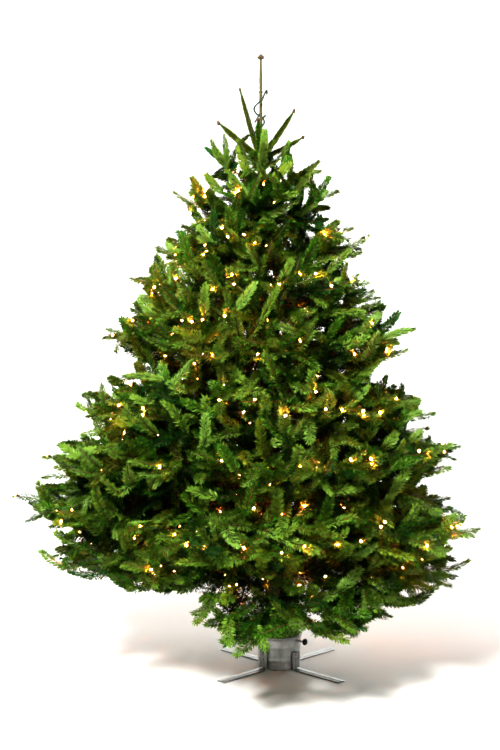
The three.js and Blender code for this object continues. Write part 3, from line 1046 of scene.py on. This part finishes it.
class FIR_OT_needles(Operator):
    """Grows needles on the shoots of the last years, one piece for each whorl"""

    bl_idname = "fir.needles"
    bl_label = "Needles"

    def execute(self, context):
        settings = context.scene.fir_needles
        materials = [
            plain(f"needles_{green}", getattr(settings, green), 0.45, specular_ior_level=0.24)
            for green in GREENS
        ]
        leafy = [s for s in grown() if s.year in NEEDLES_LEFT]
        total = sum(self.weight(s) for s in leafy)
        for name, whorl, shoots, nodes in by_whorl():
            chosen = [s for s in shoots if s.year in NEEDLES_LEFT]
            chosen.sort(key=lambda s: math.atan2(s.start.y, s.start.x))
            counts = np.array([round(settings.count * self.weight(s) / total) for s in chosen])
            rng = np.random.default_rng(whorl)
            points, colours = self.needles(chosen, counts, settings, rng)
            faces = np.arange(3 * len(points)).reshape(-1, 3)
            # No piece holds more faces than a printable file may.
            pieces = math.ceil(len(faces) / MOST_FACES)
            for i, part in enumerate(np.array_split(np.arange(len(points)), pieces)):
                label = f"needles_{name}" if pieces == 1 else f"needles_{name}_part_{i + 1}"
                piece = make_piece(label, points[part], [faces[: len(part)]], materials,
                                   colours[part], smooth=False)
                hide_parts(*nodes)
        return {"FINISHED"}

    def kind(self, shoot):
        """Which of the shares of greens a shoot's green comes from."""
        if shoot.whorl == WHORL_COUNT:
            return "top" if shoot.order >= 0 else "leader"
        # Young shoots at the crown's outline are dealt paler and brighter greens than those further
        # in: painted light.
        PAINTED_LIGHT_OUTLINE = 0.84
        if shoot.share > PAINTED_LIGHT_OUTLINE and shoot.year < 3:
            return "outer"
        return min(shoot.year, 3)

    def weight(self, shoot):
        """A shoot's share of the tree's needles."""
        LEADER, TOP, UPPER = 1.6, 4.5, 2.2
        SHADED, INNER_GAIN, OUTER_GAIN = 0.35, 2.5, 0.7
        length = (shoot.end - shoot.start).length
        if shoot.order < 0:
            return LEADER * length
        closer = shoot.scale ** -1.5
        lit = SHADED + min(1, max(0, (shoot.share - 0.4) * INNER_GAIN))
        lit, left = lit + OUTER_GAIN * outer(shoot.share), NEEDLES_LEFT[shoot.year]
        if shoot.whorl >= THIN_CROWN_FROM:
            lit, left = TOP if shoot.whorl == WHORL_COUNT else UPPER, 1
        return left * length * closer * lit

    def needles(self, shoots, counts, settings, rng):
        """Each needle's three corners and its green."""
        def each(values):
            """A value of every shoot, for each of its needles."""
            return np.repeat(values, counts, 0)

        start, bend, end, up = (each(a) for a in as_arrays(shoots))
        thick = each([s.foot_radius for s in shoots])
        total = len(start)
        # Shoots in the light carry needles all round them, and the shaded ones are parted.
        LIT_FROM, SHADE_GAIN = 0.95, 4
        MOST_PRESSED, LEAST_PRESSED = -0.22, 0.06
        BARE_FOOT = 0.02
        shade = each([min(1, max(0, (LIT_FROM - s.share) * SHADE_GAIN)) for s in shoots])
        scale = each([s.scale for s in shoots])
        pressed = each(rng.uniform(MOST_PRESSED, LEAST_PRESSED, len(shoots)))
        order = np.concatenate([np.arange(n) for n in counts])
        share = (order + rng.random(total)) / each(np.maximum(counts, 1))
        share = BARE_FOOT + (1 - BARE_FOOT) * share
        place, along = along_curve(start, bend, end, share)
        side = unit(np.cross(along, up))
        above = np.cross(side, along)

        # Needles leave the twig all round it in a spiral, and most of the lower ones bend
        # round to its sides. 0 is straight up.
        GOLDEN, UNEVEN = 2.39996, 0.25
        round_it = (order * GOLDEN + rng.normal(0, UNEVEN, total)) % (2 * math.pi) - math.pi
        low = np.abs(round_it) > math.pi / 2
        SIDEWAYS, STILL_LOW = 1.2, 0.42
        SWEPT, MORE_IN_SHADE = 0.45, 0.4
        swept = np.sign(round_it) * (SIDEWAYS + (np.abs(round_it) - math.pi / 2) * STILL_LOW)
        low &= rng.random(total) < SWEPT + MORE_IN_SHADE * shade
        round_it = np.where(low, swept, round_it)
        out = above * np.cos(round_it)[:, None] + side * np.sin(round_it)[:, None]

        # They lean forward, more so towards the shoot's end and on its upper side.
        # Shoots at the crown's outline are rounder than those further in.
        ROUNDER, TOP_WIDTH, UNDER_WIDTH = 0.25, 0.75, 0.8
        flat = each([1 - ROUNDER * outer(s.share) for s in shoots])
        on_top = np.exp(-(round_it / TOP_WIDTH) ** 2) * flat
        under = np.exp(-((np.abs(round_it) - math.pi) / UNDER_WIDTH) ** 2) * flat
        LEAN, AT_END, ON_TOP, UNDER = 66, 17, 24, 14  # degrees
        LEAN_SPREAD, MOST_CLOSED = 0.1, 0.75
        lean = np.radians(LEAN - AT_END * share ** 2 - ON_TOP * on_top - UNDER * under)
        lean = lean + rng.normal(0, LEAN_SPREAD, total) + pressed
        # Short needles lie closer.
        lean = lean * (1 - 1.1 * np.clip(0.9 - scale, 0, 0.5))
        # The last ones close over the bud, so that a shoot's end is round.
        CLOSING_FROM, CLOSING_OVER = 0.86, 0.1
        closing = np.clip((share - CLOSING_FROM) / CLOSING_OVER, 0, 1)
        lean = lean * (1 - MOST_CLOSED * rng.random(total) * closing)
        direction = unit(along * np.cos(lean)[:, None] + out * np.sin(lean)[:, None])

        # They are longest about the middle of the shoot, and shorter above it and below.
        SHORT_ON_TOP, SHORT_UNDER, LENGTHS = 0.3, 0.25, (0.85, 1.12)
        profile = 0.8 + 0.2 * np.sin(math.pi * share ** 0.8)
        length = settings.length * scale * profile
        length = length * (1 - SHORT_ON_TOP * on_top - SHORT_UNDER * under)
        length = length * rng.uniform(*LENGTHS, total)
        # The top shoots show the buds on their ends.
        SHORTER, SHORTER_FROM, SHORTER_OVER = 0.6, 0.8, 0.2
        topmost = each([s.whorl == WHORL_COUNT for s in shoots])
        last = np.clip((share - SHORTER_FROM) / SHORTER_OVER, 0, 1)
        length = length * (1 - SHORTER * topmost * last)
        WIDTHS, WIDER_IN_SHADE = (0.85, 1.1), 0.3
        width = settings.width * (0.6 + 0.4 * scale)
        width = width * rng.uniform(*WIDTHS, total) * (1 + WIDER_IN_SHADE * shade)

        # A needle is a blade, pointed at both ends and widest beyond its middle.
        UNDER_BARK, WIDEST, OFF_MIDDLE = 0.7, 0.62, 0.3
        facing = unit(above * 0.8 + out * 0.5 + rng.normal(0, 0.22, (total, 3)))
        across = unit(np.cross(direction, facing)) * rng.choice([-1, 1], total)[:, None]
        foot = place + out * thick[:, None] * UNDER_BARK
        tip = foot + direction * length[:, None]
        belly = foot + direction * (length * WIDEST)[:, None] + across * width[:, None]
        middle = (across * width[:, None]) * OFF_MIDDLE
        corners = np.stack([foot - middle, belly - middle, tip - middle], 1)
        greens = each([rng.choice(len(GREENS), p=GREEN_SHARES[self.kind(s)]) for s in shoots])
        # A few needles of each spray get a paler green, partly their pale underside and partly a
        # painted highlight, and a few a deep green, which is painted shade.
        PALE_SIDE_AND_HIGHLIGHT_SHARE, DEEP_AND_SHADE_SHARE = 0.15, 0.05
        paler_side_and_highlight = np.array([GREENS.index(PALER.get(green, green)) for green in GREENS])[greens]
        side_and_light_draw = rng.random(total)
        greens = np.where(side_and_light_draw < PALE_SIDE_AND_HIGHLIGHT_SHARE, paler_side_and_highlight, greens)
        return corners, np.where(side_and_light_draw > 1 - DEEP_AND_SHADE_SHARE, GREENS.index("deep"), greens)


class FIR_OT_buds(Operator):
    """Puts a knot of buds on the end of every shoot and on the leader"""

    bl_idname = "fir.buds"
    bl_label = "Buds"

    def execute(self, context):
        LENGTH, GIRTH = 0.0062, 0.38  # girth is a bud's radius beside its length
        INNERMOST, OUTERMOST = 0.6, 0.85
        TOP_SCALE, OUTER_SCALE = 2.4, 1.3
        TOP_CLEAR, SUNK_IN_SHOOT = 0.003, 0.001
        KNOT = (0, 0), (1, 0.2), (-1, 0.2), (0, 1), (0.2, -1)  # aside and up
        rng = np.random.default_rng(3)
        starts, ends, radii = [], [], []
        for shoot in grown():
            if not shoot.is_tip or shoot.order < 0 or shoot.share < INNERMOST:
                continue
            along = (shoot.end - shoot.bend).normalized()
            side = along.cross(UP).normalized()
            at_top = shoot.whorl == WHORL_COUNT
            scale = TOP_SCALE if at_top else OUTER_SCALE if shoot.share > OUTERMOST else 1
            foot = shoot.end + along * (TOP_CLEAR if at_top else -SUNK_IN_SHOOT)
            for way, rise in KNOT[: 5 if at_top else 3 if shoot.order == 0 else 1]:
                lean = (along + (side * way + UP * rise) * 0.8).normalized()
                grown_to = LENGTH * scale * rng.uniform(0.8, 1.1) * (0.8 if way else 1)
                starts.append(foot)
                ends.append(foot + lean * grown_to)
                radii.append(grown_to * GIRTH)
        # A crown of buds round the leader's tip, and a ring of small ones further down.
        CROWN_DEPTH, RING_AT, TURN, SUNK = 0.018, 0.62, 0.4, 0.002
        crown, ring = TRUNK[-1, 0] - CROWN_DEPTH, TOP_WHORL + (TRUNK[-1, 0] - TOP_WHORL) * RING_AT
        for height, count, length, rise in ((crown, 5, 0.0155, 0.8), (crown, 1, 0.018, 9),
                                            (ring, 4, 0.01, 0.8)):
            for turn in turns(count):
                lean = around(turn + TURN, rise).normalized()
                starts.append(trunk_middle(height) + lean * SUNK)
                ends.append(trunk_middle(height) + lean * length)
                radii.append(length * GIRTH)
        starts, ends, radii = np.array(starts), np.array(ends), np.array(radii)
        share = np.array([0, 0.5, 1])[None, :, None]
        lines = starts[:, None] * (1 - share) + ends[:, None] * share
        swell = radii[:, None] * np.array([0.6, 1.0, 0.2])
        ups = np.tile([0.31, 0.17, 0.93], (len(starts), 1))
        points, faces = tubes(lines, swell, ups, 3)
        material = textured("bud_scales", context.scene.fir_bark.bud, (0.08, 0.035, 0.015), 300,
                            0.5, 0.0004)
        piece = make_piece("buds", points, faces, [material])
        return {"FINISHED"}


# ---- Lights ------------------------------------------------------------------------------
class FIR_OT_lights(Operator):
    """Winds strings of lights round the crown: wire, sockets and lit bulbs"""

    bl_idname = "fir.lights"
    bl_label = "Strings of lights"

    def execute(self, context):
        settings = context.scene.fir_lights
        rng = random.Random(11)
        feet, leans = self.places(settings, rng)
        wire_points = self.wire(feet, rng)
        strands = [self.tube_along(wire_points, settings.wire_radius)]
        strands += [self.tube_along(line, settings.end_radius) for line in self.leader_wires()]
        points, faces, _ = joined([(*strand, 0) for strand in strands])
        sleeve = plain("wire_sleeve", settings.wire, 0.45)
        wire = make_piece("light_wire", points, faces, [sleeve])
        feet, leans = np.array(feet), np.array(leans)

        SOCKET, SOCKET_SIDES, BULB_SIDES = 0.011, 5, 6
        along = np.array([0, 0.5, 0.56, 1]) * SOCKET
        girth = np.array([0.85, 0.95, 1.1, 1.05]) * settings.bulb_radius * 1.05
        points, faces = self.turned_on(feet, leans, along, girth, SOCKET_SIDES)
        socket = make_piece("light_sockets", points, faces, [sleeve])

        along = np.array([0, 0.42, 0.56, 0.86, 1]) * settings.bulb_length + SOCKET * 0.9
        girth = np.array([0.75, 1.0, 0.95, 0.6, 0.15]) * settings.bulb_radius
        points, faces = self.turned_on(feet, leans, along, girth, BULB_SIDES)
        # The filament lights one band of the glass white, and the rest glows amber.
        materials = [
            plain(name, (1.0, 0.75, 0.45), 0.2, emission_color=(*light, 1), emission_strength=strength)
            for name, light, strength in (("amber_glass", settings.glass, settings.amber),
                                          ("lit_glass", settings.glow, settings.strength))
        ]
        band = np.repeat([0, 1, 0, 0], BULB_SIDES)
        slots = np.concatenate([np.tile(band, len(feet)), np.zeros(2 * len(feet), int)])
        bulbs = make_piece("light_bulbs", points, faces, materials, slots)
        return {"FINISHED"}

    def turned_on(self, feet, leans, along, girth, sides):
        """Points and faces of like round bodies, each along its own line."""
        lines = feet[:, None] + leans[:, None] * along[:, None]
        ups = np.tile([0.21, 0.13, 0.97], (len(feet), 1))
        return tubes(lines, np.tile(girth, (len(feet), 1)), ups, sides)

    def places(self, settings, rng):
        """Where each bulb's socket sits on the twigs, and which way it points."""
        LOWEST, HIGHEST, LOW_SPREAD = 0.15 * HEIGHT, 0.83 * HEIGHT, 0.62
        WIDE_CROWN = 0.4  # radius of the crown from which bulbs sit as deep as they may
        DEPTHS = (-0.02, 0.055)
        FURTHEST = 0.12
        UNEVEN = 0.3
        ALONG, OUTWARD, STRAY = 0.4, 0.9, 0.4  # what a bulb's direction is made of
        ABOVE, CLEAR = 0.006, 0.009  # of the twig
        shoots = [s for s in grown() if s.year < 4]
        finder = KDTree(len(shoots))
        for i, shoot in enumerate(shoots):
            finder.insert(shoot.start.lerp(shoot.end, 0.55), i)
        finder.balance()
        solids = crown_solids()
        feet, leans = [], []
        for i in range(settings.count):
            share = (i + rng.uniform(-UNEVEN, UNEVEN)) / settings.count
            # The crown is wider below, so the string spends more of its length there.
            height = LOWEST + (HIGHEST - LOWEST) * (1 - (1 - share) ** LOW_SPREAD)
            axis = trunk_middle(height)
            out = around(share * settings.turns * 2 * math.pi)
            hit = solids.ray_cast(axis + out * BEYOND, -out)[0]
            if hit is None:
                continue
            deep = min(1, (hit - axis).length / WIDE_CROWN)
            target = hit - out * rng.uniform(*DEPTHS) * deep
            _, index, distance = finder.find(target)
            if distance > FURTHEST:
                continue
            shoot = shoots[index]
            place = shoot.start.lerp(shoot.end, rng.uniform(0.3, 0.8))
            along = (shoot.end - shoot.start).normalized()
            leans.append((along * ALONG + out * OUTWARD + scattered(rng, STRAY)).normalized())
            feet.append(place + UP * ABOVE + out * CLEAR)
        return feet, leans

    def wire(self, feet, rng):
        """The wire's points, from socket to socket, slack between them."""
        STEPS = 5
        SLACK, MOST_SLACK, SWAY = 0.14, 0.03, 0.006
        points = []
        for here, there in zip(feet, feet[1:]):
            slack = min(MOST_SLACK, (there - here).length * SLACK)
            sway = scattered(rng, SWAY) - UP * slack
            for step in range(STEPS):
                share = step / STEPS
                points.append(here.lerp(there, share) + sway * 4 * share * (1 - share))
        return points

    def leader_wires(self):
        """The string's end, wound round the leader and twisted to itself, with loose ends."""
        BELOW, ABOVE = 0.05, 0.195  # where it is wound, from the foot of the leader
        TURNS, NEAREST, LOOSE = 2.75, 0.012, 0.011
        STEPS, END_STEPS = 70, 12
        wound = []
        for i in range(STEPS + 1):
            share = i / STEPS
            out = around(TURNS * 2 * math.pi * share + 0.4)
            loose = NEAREST + LOOSE * math.sin(share * 9.0) ** 2
            wound.append(trunk_middle(TOP_WHORL - BELOW + (ABOVE + BELOW) * share) + out * loose)
        ends = []
        for height, turn, length, curl in ((ABOVE, 0.1, 0.055, 2.4), (0.135, 0.0, 0.03, 0.6),
                                           (0.15, 3.3, 0.04, -1.6)):
            start = trunk_middle(TOP_WHORL + height)
            line = []
            for i in range(END_STEPS + 1):
                share = i / END_STEPS
                away = around(turn + curl * share * 0.25)
                away = away * (0.004 + length * 0.42 * math.sin(share * 1.5))
                line.append(start + away + UP * (length * math.sin(curl * share) * 0.7))
            ends.append(line)
        return [wound, *ends]

    def tube_along(self, line, radius):
        """One round wire along a line."""
        line = np.array([[tuple(p) for p in line]])
        radii = np.full(line.shape[:2], radius)
        radii[0, [0, -1]] *= 0.6
        return tubes(line, radii, np.array([[0.11, 0.07, 0.99]]), 4)


# ---- Stand -------------------------------------------------------------------------------
class FIR_OT_pot(Operator):
    """Turns the stand's pot: a pressed steel pan with two beads and a rolled rim"""

    bl_idname = "fir.pot"
    bl_label = "Stand pot"

    def execute(self, context):
        ROLL, CORNER, GAUGE = 0.0036, 0.004, 0.0016
        BEAD, BEAD_WIDTH, BEADS = 0.0018, 0.035, (0.28, 0.72)
        STEPS, SIDES = 22, 72
        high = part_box("stand_pot")[1]
        outer = vertices_of("stand_pot")
        floor_radius = np.linalg.norm(outer[outer[:, 2] < 1e-4][:, :2], axis=1).max()
        wall, height = high.y - ROLL, high.z
        profile = [(0, 0), (floor_radius - CORNER, 0)]
        for i in range(5):
            angle = -math.pi / 2 + i * math.pi / 8
            profile.append((floor_radius - CORNER + CORNER * math.cos(angle),
                            CORNER + CORNER * math.sin(angle)))
        outside = []
        for i in range(1, STEPS):
            share = i / STEPS
            z = CORNER + (height - 2 * ROLL - CORNER) * share
            bead = sum(math.exp(-((share - at) / BEAD_WIDTH) ** 2) for at in BEADS)
            outside.append((floor_radius + (wall - floor_radius) * share + BEAD * bead, z))
        profile += outside
        for i in range(11):
            angle = -math.pi * 0.4 + i * math.pi * 1.35 / 10
            profile.append((wall + ROLL * math.cos(angle), height - ROLL + ROLL * math.sin(angle)))
        profile += [(r - GAUGE, z) for r, z in reversed(outside)]
        FLOOR = 0.0045
        profile += [(floor_radius - CORNER, FLOOR), (0, FLOOR)]
        points, faces = revolved(profile, SIDES)
        settings = context.scene.fir_stand
        material = textured("galvanised_steel", settings.pot, tuple(c * 0.8 for c in settings.pot),
                            45, 0.36, 0.0002, (1, 1, 1), 3, metallic=0.55)
        pot = make_piece("pot", points, faces, [material])
        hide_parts("stand_pot")
        return {"FINISHED"}


def strap(path, width, thickness):
    """A strip of steel with rounded edges along a path of (out, up) points."""
    path = np.asarray(path, float)
    along = unit(np.gradient(path, axis=0))
    normal = np.stack([-along[:, 1], along[:, 0]], -1)
    EDGE, RIDGE, RIDGE_WIDTH = 6, 0.0012, 0.3
    half, bevel = width / 2, thickness / 2

    def edge(middle, start):
        """Half a circle round one edge of the strip."""
        angles = [start + i * math.pi / EDGE for i in range(EDGE + 1)]
        return [(middle + bevel * math.cos(angle), bevel * math.sin(angle)) for angle in angles]

    ridge = [(half * s, bevel + RIDGE * max(0, 1 - (s / RIDGE_WIDTH) ** 2))
             for s in (0.55, 0.3, 0.15, 0, -0.15, -0.3, -0.55)]
    section = edge(half - bevel, -math.pi / 2) + ridge + edge(-half + bevel, math.pi / 2)
    section = np.array(section)
    middle = path + normal * bevel
    flat = middle[:, None] + normal[:, None] * section[None, :, 1:]
    points = np.stack([flat[..., 0], np.tile(section[:, 0], (len(path), 1)), flat[..., 1]], -1)
    # The section runs the other way round than a tube's ring.
    quads, caps = ring_faces(len(path), len(section))
    return points.reshape(-1, 3), [np.roll(quads[:, ::-1], 1, 1), caps[:, ::-1]]


class FIR_OT_feet(Operator):
    """Bends the stand's feet, each with a ridge down its middle and riveted to the pot"""

    bl_idname = "fir.feet"
    bl_label = "Stand feet"

    def execute(self, context):
        settings = context.scene.fir_stand
        material = textured("zinc_plate", settings.steel, tuple(c * 0.75 for c in settings.steel),
                            70, 0.34, 0.0002, (1, 1, 1), 3, metallic=0.85)
        THICKNESS, BEND = 0.0042, 0.014
        RIVET = (0.0052, 0), (0.0052, 0.0006), (0.0042, 0.002), (0.0022, 0.0028), (0, 0.003)
        RIVET_HEIGHTS = 0.62, 0.84
        for node in nodes_named("stand_foot_"):
            points = vertices_of(node)
            middle = points[points[:, 2] > points[:, 2].max() - 1e-4].mean(0)
            azimuth = math.atan2(middle[1], middle[0])
            out, aside = out_and_aside(points, azimuth)
            inner, reach, top = out.min(), out.max(), points[:, 2].max()
            width = 2 * np.abs(aside).max()
            path = [(reach, 0)]
            path += [(x, 0) for x in np.linspace(reach - 0.004, inner + BEND, 16)]
            for i in range(1, 9):
                angle = -math.pi / 2 - i * math.pi / 16
                path.append((inner + BEND + BEND * math.cos(angle), BEND + BEND * math.sin(angle)))
            path += [(inner, z) for z in np.linspace(BEND + 0.004, top, 8)]
            parts = [(*strap(path[::-1], width, THICKNESS), 0)]
            for height in RIVET_HEIGHTS:
                head, faces = revolved(RIVET, 16)
                parts.append((laid(head) + (inner + THICKNESS, 0, height * top), faces, 0))
            points, faces, _ = joined(parts)
            foot = make_piece(node.replace("stand_", ""), turned(points, azimuth), faces, [material])
            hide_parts(node)
        return {"FINISHED"}


class FIR_OT_screws(Operator):
    """Cuts the stand's clamping screws, each with its pad, thread, collar and knob"""

    bl_idname = "fir.screws"
    bl_label = "Stand screws"

    def execute(self, context):
        settings = context.scene.fir_stand
        steel = textured("screw_steel", settings.steel, tuple(c * 0.7 for c in settings.steel),
                         90, 0.3, 0.0001, (1, 1, 1), 3, metallic=0.9)
        moulded = textured("moulded_knob", settings.knob, (0.015, 0.015, 0.016), 200, 0.5, 0.0002)
        KNOB, KNOB_DEPTH, INTO = 0.014, 0.002, 0.0002
        PAD = ((0, 0), (0.0066, 0), (0.0069, 0.0005), (0.0069, 0.0022), (0.0055, 0.003), (0, 0.003))
        for node in nodes_named("stand_screw_"):
            low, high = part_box(node)
            middle = (low + high) / 2
            azimuth = math.atan2(middle.y, middle.x)
            out, _ = out_and_aside(vertices_of(node), azimuth)
            inner, end = out.min(), out.max()
            knob_start = end - KNOB
            pad = revolved([(radius, inner + height) for radius, height in PAD], 24)
            rod = self.threaded(inner + PAD[-1][1] - INTO, knob_start + KNOB_DEPTH, settings)
            knob = self.knob(knob_start, end)
            parts = [
                (turned(laid(body), azimuth, (0, 0, middle.z)), faces, slot)
                for (body, faces), slot in ((pad, 0), (rod, 0), (knob, 1))
            ]
            points, faces, slots = joined(parts)
            screw = make_piece(node.replace("stand_", ""), points, faces, [steel, moulded], slots)
            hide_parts(node)
        return {"FINISHED"}

    def threaded(self, start, end, settings):
        """A rod with a true helical thread."""
        SIDES, PER_TURN, DEPTH = 10, 4, 0.0007
        rows = int((end - start) / settings.pitch * PER_TURN)
        z = np.linspace(start, end, rows)[:, None]
        turn = turns(SIDES)
        phase = (z / settings.pitch + turn / (2 * math.pi)) % 1
        radius = settings.screw_radius - DEPTH * np.abs(phase * 2 - 1)
        points = np.stack([radius * np.cos(turn), radius * np.sin(turn), np.repeat(z, SIDES, 1)], -1)
        return points.reshape(-1, 3), ring_faces(rows, SIDES)

    def knob(self, start, end):
        """A moulded knob with six lobes to grip."""
        SIDES, LOBES, LOBE_DEPTH = 48, 6, 0.13
        profile = [(0.0001, start), (0.0055, start), (0.0075, start + 0.001), (0.0108, start + 0.004),
                   (0.0112, start + 0.007), (0.0108, end - 0.003), (0.008, end - 0.0008),
                   (0.0045, end), (0.0001, end)]
        points, faces = revolved(profile, SIDES)
        angle = np.arctan2(points[:, 1], points[:, 0])
        out = np.hypot(points[:, 0], points[:, 1])
        grip = np.clip((out - 0.006) / 0.004, 0, 1)
        lobes = 1 - LOBE_DEPTH * grip * (0.5 - 0.5 * np.cos(LOBES * angle))
        points[:, :2] *= lobes[:, None]
        return points, faces


# ---- Stage -------------------------------------------------------------------------------
class FIR_OT_stage(Operator):
    """Sets up the floor, the wall, the light and the camera"""

    bl_idname = "fir.stage"
    bl_label = "Stage"

    def execute(self, context):
        settings = context.scene.fir_stage
        scene = context.scene
        self.sweep(settings)
        self.lights(scene)
        data = bpy.data.cameras.new("camera")
        data.sensor_fit = "VERTICAL"
        data.sensor_height = 36
        data.sensor_width = 36
        data.lens = settings.lens
        data.shift_y = settings.rise
        camera = bpy.data.objects.new("camera", data)
        camera.location = (-settings.aside, -settings.distance, settings.height)
        camera.rotation_euler = (math.pi / 2, 0, 0)
        scene.collection.objects.link(camera)
        scene.camera = camera
        scene.view_settings.view_transform = "Standard"
        scene.view_settings.look = "High Contrast"
        return {"FINISHED"}

    def sweep(self, settings):
        """A pale floor that curves up into a pale wall behind the tree."""
        HALF_WIDTH, FRONT, BACK, RADIUS, TOP, STEPS = 5.5, -5.5, 4.5, 0.8, 7, 12
        FLOOR_FACES = 3
        line = [(FRONT, 0), (BACK - RADIUS, 0)]
        for i in range(1, STEPS + 1):
            angle = i * math.pi / 2 / STEPS
            line.append((BACK - RADIUS + RADIUS * math.sin(angle), RADIUS - RADIUS * math.cos(angle)))
        line.append((BACK, TOP))
        points = [(x, y, z) for y, z in line for x in (-HALF_WIDTH, HALF_WIDTH)]
        faces = [(2 * i, 2 * i + 1, 2 * i + 3, 2 * i + 2) for i in range(len(line) - 1)]
        mesh = bpy.data.meshes.new("floor_and_wall")
        mesh.from_pydata(points, [], faces)
        for polygon in mesh.polygons:
            polygon.use_smooth = True
        mesh.materials.append(plain("pale_floor", settings.floor, 0.55))
        mesh.materials.append(self.wall_material(settings))
        for i, polygon in enumerate(mesh.polygons):
            polygon.material_index = 0 if i < FLOOR_FACES else 1
        backdrop = bpy.data.objects.new("floor_and_wall", mesh)
        bpy.context.collection.objects.link(backdrop)
        backdrop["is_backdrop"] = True

    def wall_material(self, settings):
        """Pale paint that is clear from behind the wall, where it would hide the tree."""
        material, nodes, links, shader = new_material("pale_wall", settings.wall, 0.9)
        clear = nodes.new("ShaderNodeBsdfTransparent")
        side = nodes.new("ShaderNodeNewGeometry")
        either = nodes.new("ShaderNodeMixShader")
        links.new(side.outputs["Backfacing"], either.inputs[0])
        links.new(shader.outputs[0], either.inputs[1])
        links.new(clear.outputs[0], either.inputs[2])
        links.new(either.outputs[0], nodes["Material Output"].inputs["Surface"])
        return material

    def lights(self, scene):
        """A key light from the front left, weaker ones round the tree and on the wall, and a sky.

        The sky's light is weak, though it looks as pale as the wall where the wall ends.
        """
        WEAK, PALE = 0.05, 0.75
        world = bpy.data.worlds.new("studio")
        world.use_nodes = True
        nodes, links = world.node_tree.nodes, world.node_tree.links
        nodes["Background"].inputs["Color"].default_value = (1, 1, 1, 1)
        seen = nodes.new("ShaderNodeLightPath")
        strength = nodes.new("ShaderNodeMapRange")
        strength.inputs["To Min"].default_value = WEAK
        strength.inputs["To Max"].default_value = PALE
        links.new(seen.outputs["Is Camera Ray"], strength.inputs["Value"])
        links.new(strength.outputs["Result"], nodes["Background"].inputs["Strength"])
        scene.world = world
        TREE = (0, 0, 1)
        for name, place, aim, width, watts in (
            ("key", (-1.5, -3.4, 3.3), TREE, 0.8, 325),
            ("fill", (2.4, -3.2, 1.9), TREE, 1.4, 36),
            ("wall_left", (-3, 1.9, 3), (-1.8, 4.5, 1.4), 1.6, 75),
            ("wall_right", (3, 1.9, 3), (1.8, 4.5, 1.4), 1.6, 75),
            ("back_left", (-2.6, 2.7, 2.2), TREE, 1.4, 45),
            ("back_right", (2.6, 2.7, 2.2), TREE, 1.4, 45),
        ):
            data = bpy.data.lights.new(name, "AREA")
            data.shape = "DISK"
            data.size = width
            data.energy = watts
            lamp = bpy.data.objects.new(name, data)
            lamp.location = place
            lamp.rotation_euler = (Vector(aim) - lamp.location).to_track_quat("-Z", "Y").to_euler()
            bpy.context.collection.objects.link(lamp)


# ---- Add-on ------------------------------------------------------------------------------
OPERATORS = (
    FIR_OT_stage,
    FIR_OT_trunk,
    FIR_OT_twigs,
    FIR_OT_needles,
    FIR_OT_buds,
    FIR_OT_lights,
    FIR_OT_pot,
    FIR_OT_feet,
    FIR_OT_screws,
)


class FIR_PT_panel(Panel):
    """The tree's settings and pieces"""

    bl_idname = "FIR_PT_panel"
    bl_label = "Christmas tree"
    bl_space_type = "VIEW_3D"
    bl_region_type = "UI"
    bl_category = "Christmas tree"

    def draw(self, context):
        for name, group in SETTINGS.items():
            box = self.layout.box()
            box.label(text=group.__doc__.rstrip("."))
            for prop in group.__annotations__:
                box.prop(getattr(context.scene, name), prop)
        for operator in OPERATORS:
            self.layout.operator(operator.bl_idname)


def register():
    for group in SETTINGS.values():
        bpy.utils.register_class(group)
    for name, group in SETTINGS.items():
        setattr(bpy.types.Scene, name, PointerProperty(type=group))
    for operator in OPERATORS:
        bpy.utils.register_class(operator)
    bpy.utils.register_class(FIR_PT_panel)


def unregister():
    bpy.utils.unregister_class(FIR_PT_panel)
    for operator in reversed(OPERATORS):
        bpy.utils.unregister_class(operator)
    for name in SETTINGS:
        delattr(bpy.types.Scene, name)
    for group in reversed(SETTINGS.values()):
        bpy.utils.unregister_class(group)


def main():
    """Makes every piece in turn, and works out the boxes of the frame and of the pieces."""
    register()
    for operator in OPERATORS:
        group, name = operator.bl_idname.split(".")
        getattr(getattr(bpy.ops, group), name)()
    boxes = {"cad": CAD_BOX, "visual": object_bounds()}
    {name: [list(corner) for corner in box] for name, box in boxes.items()}


if __name__ == "__main__":
    main()
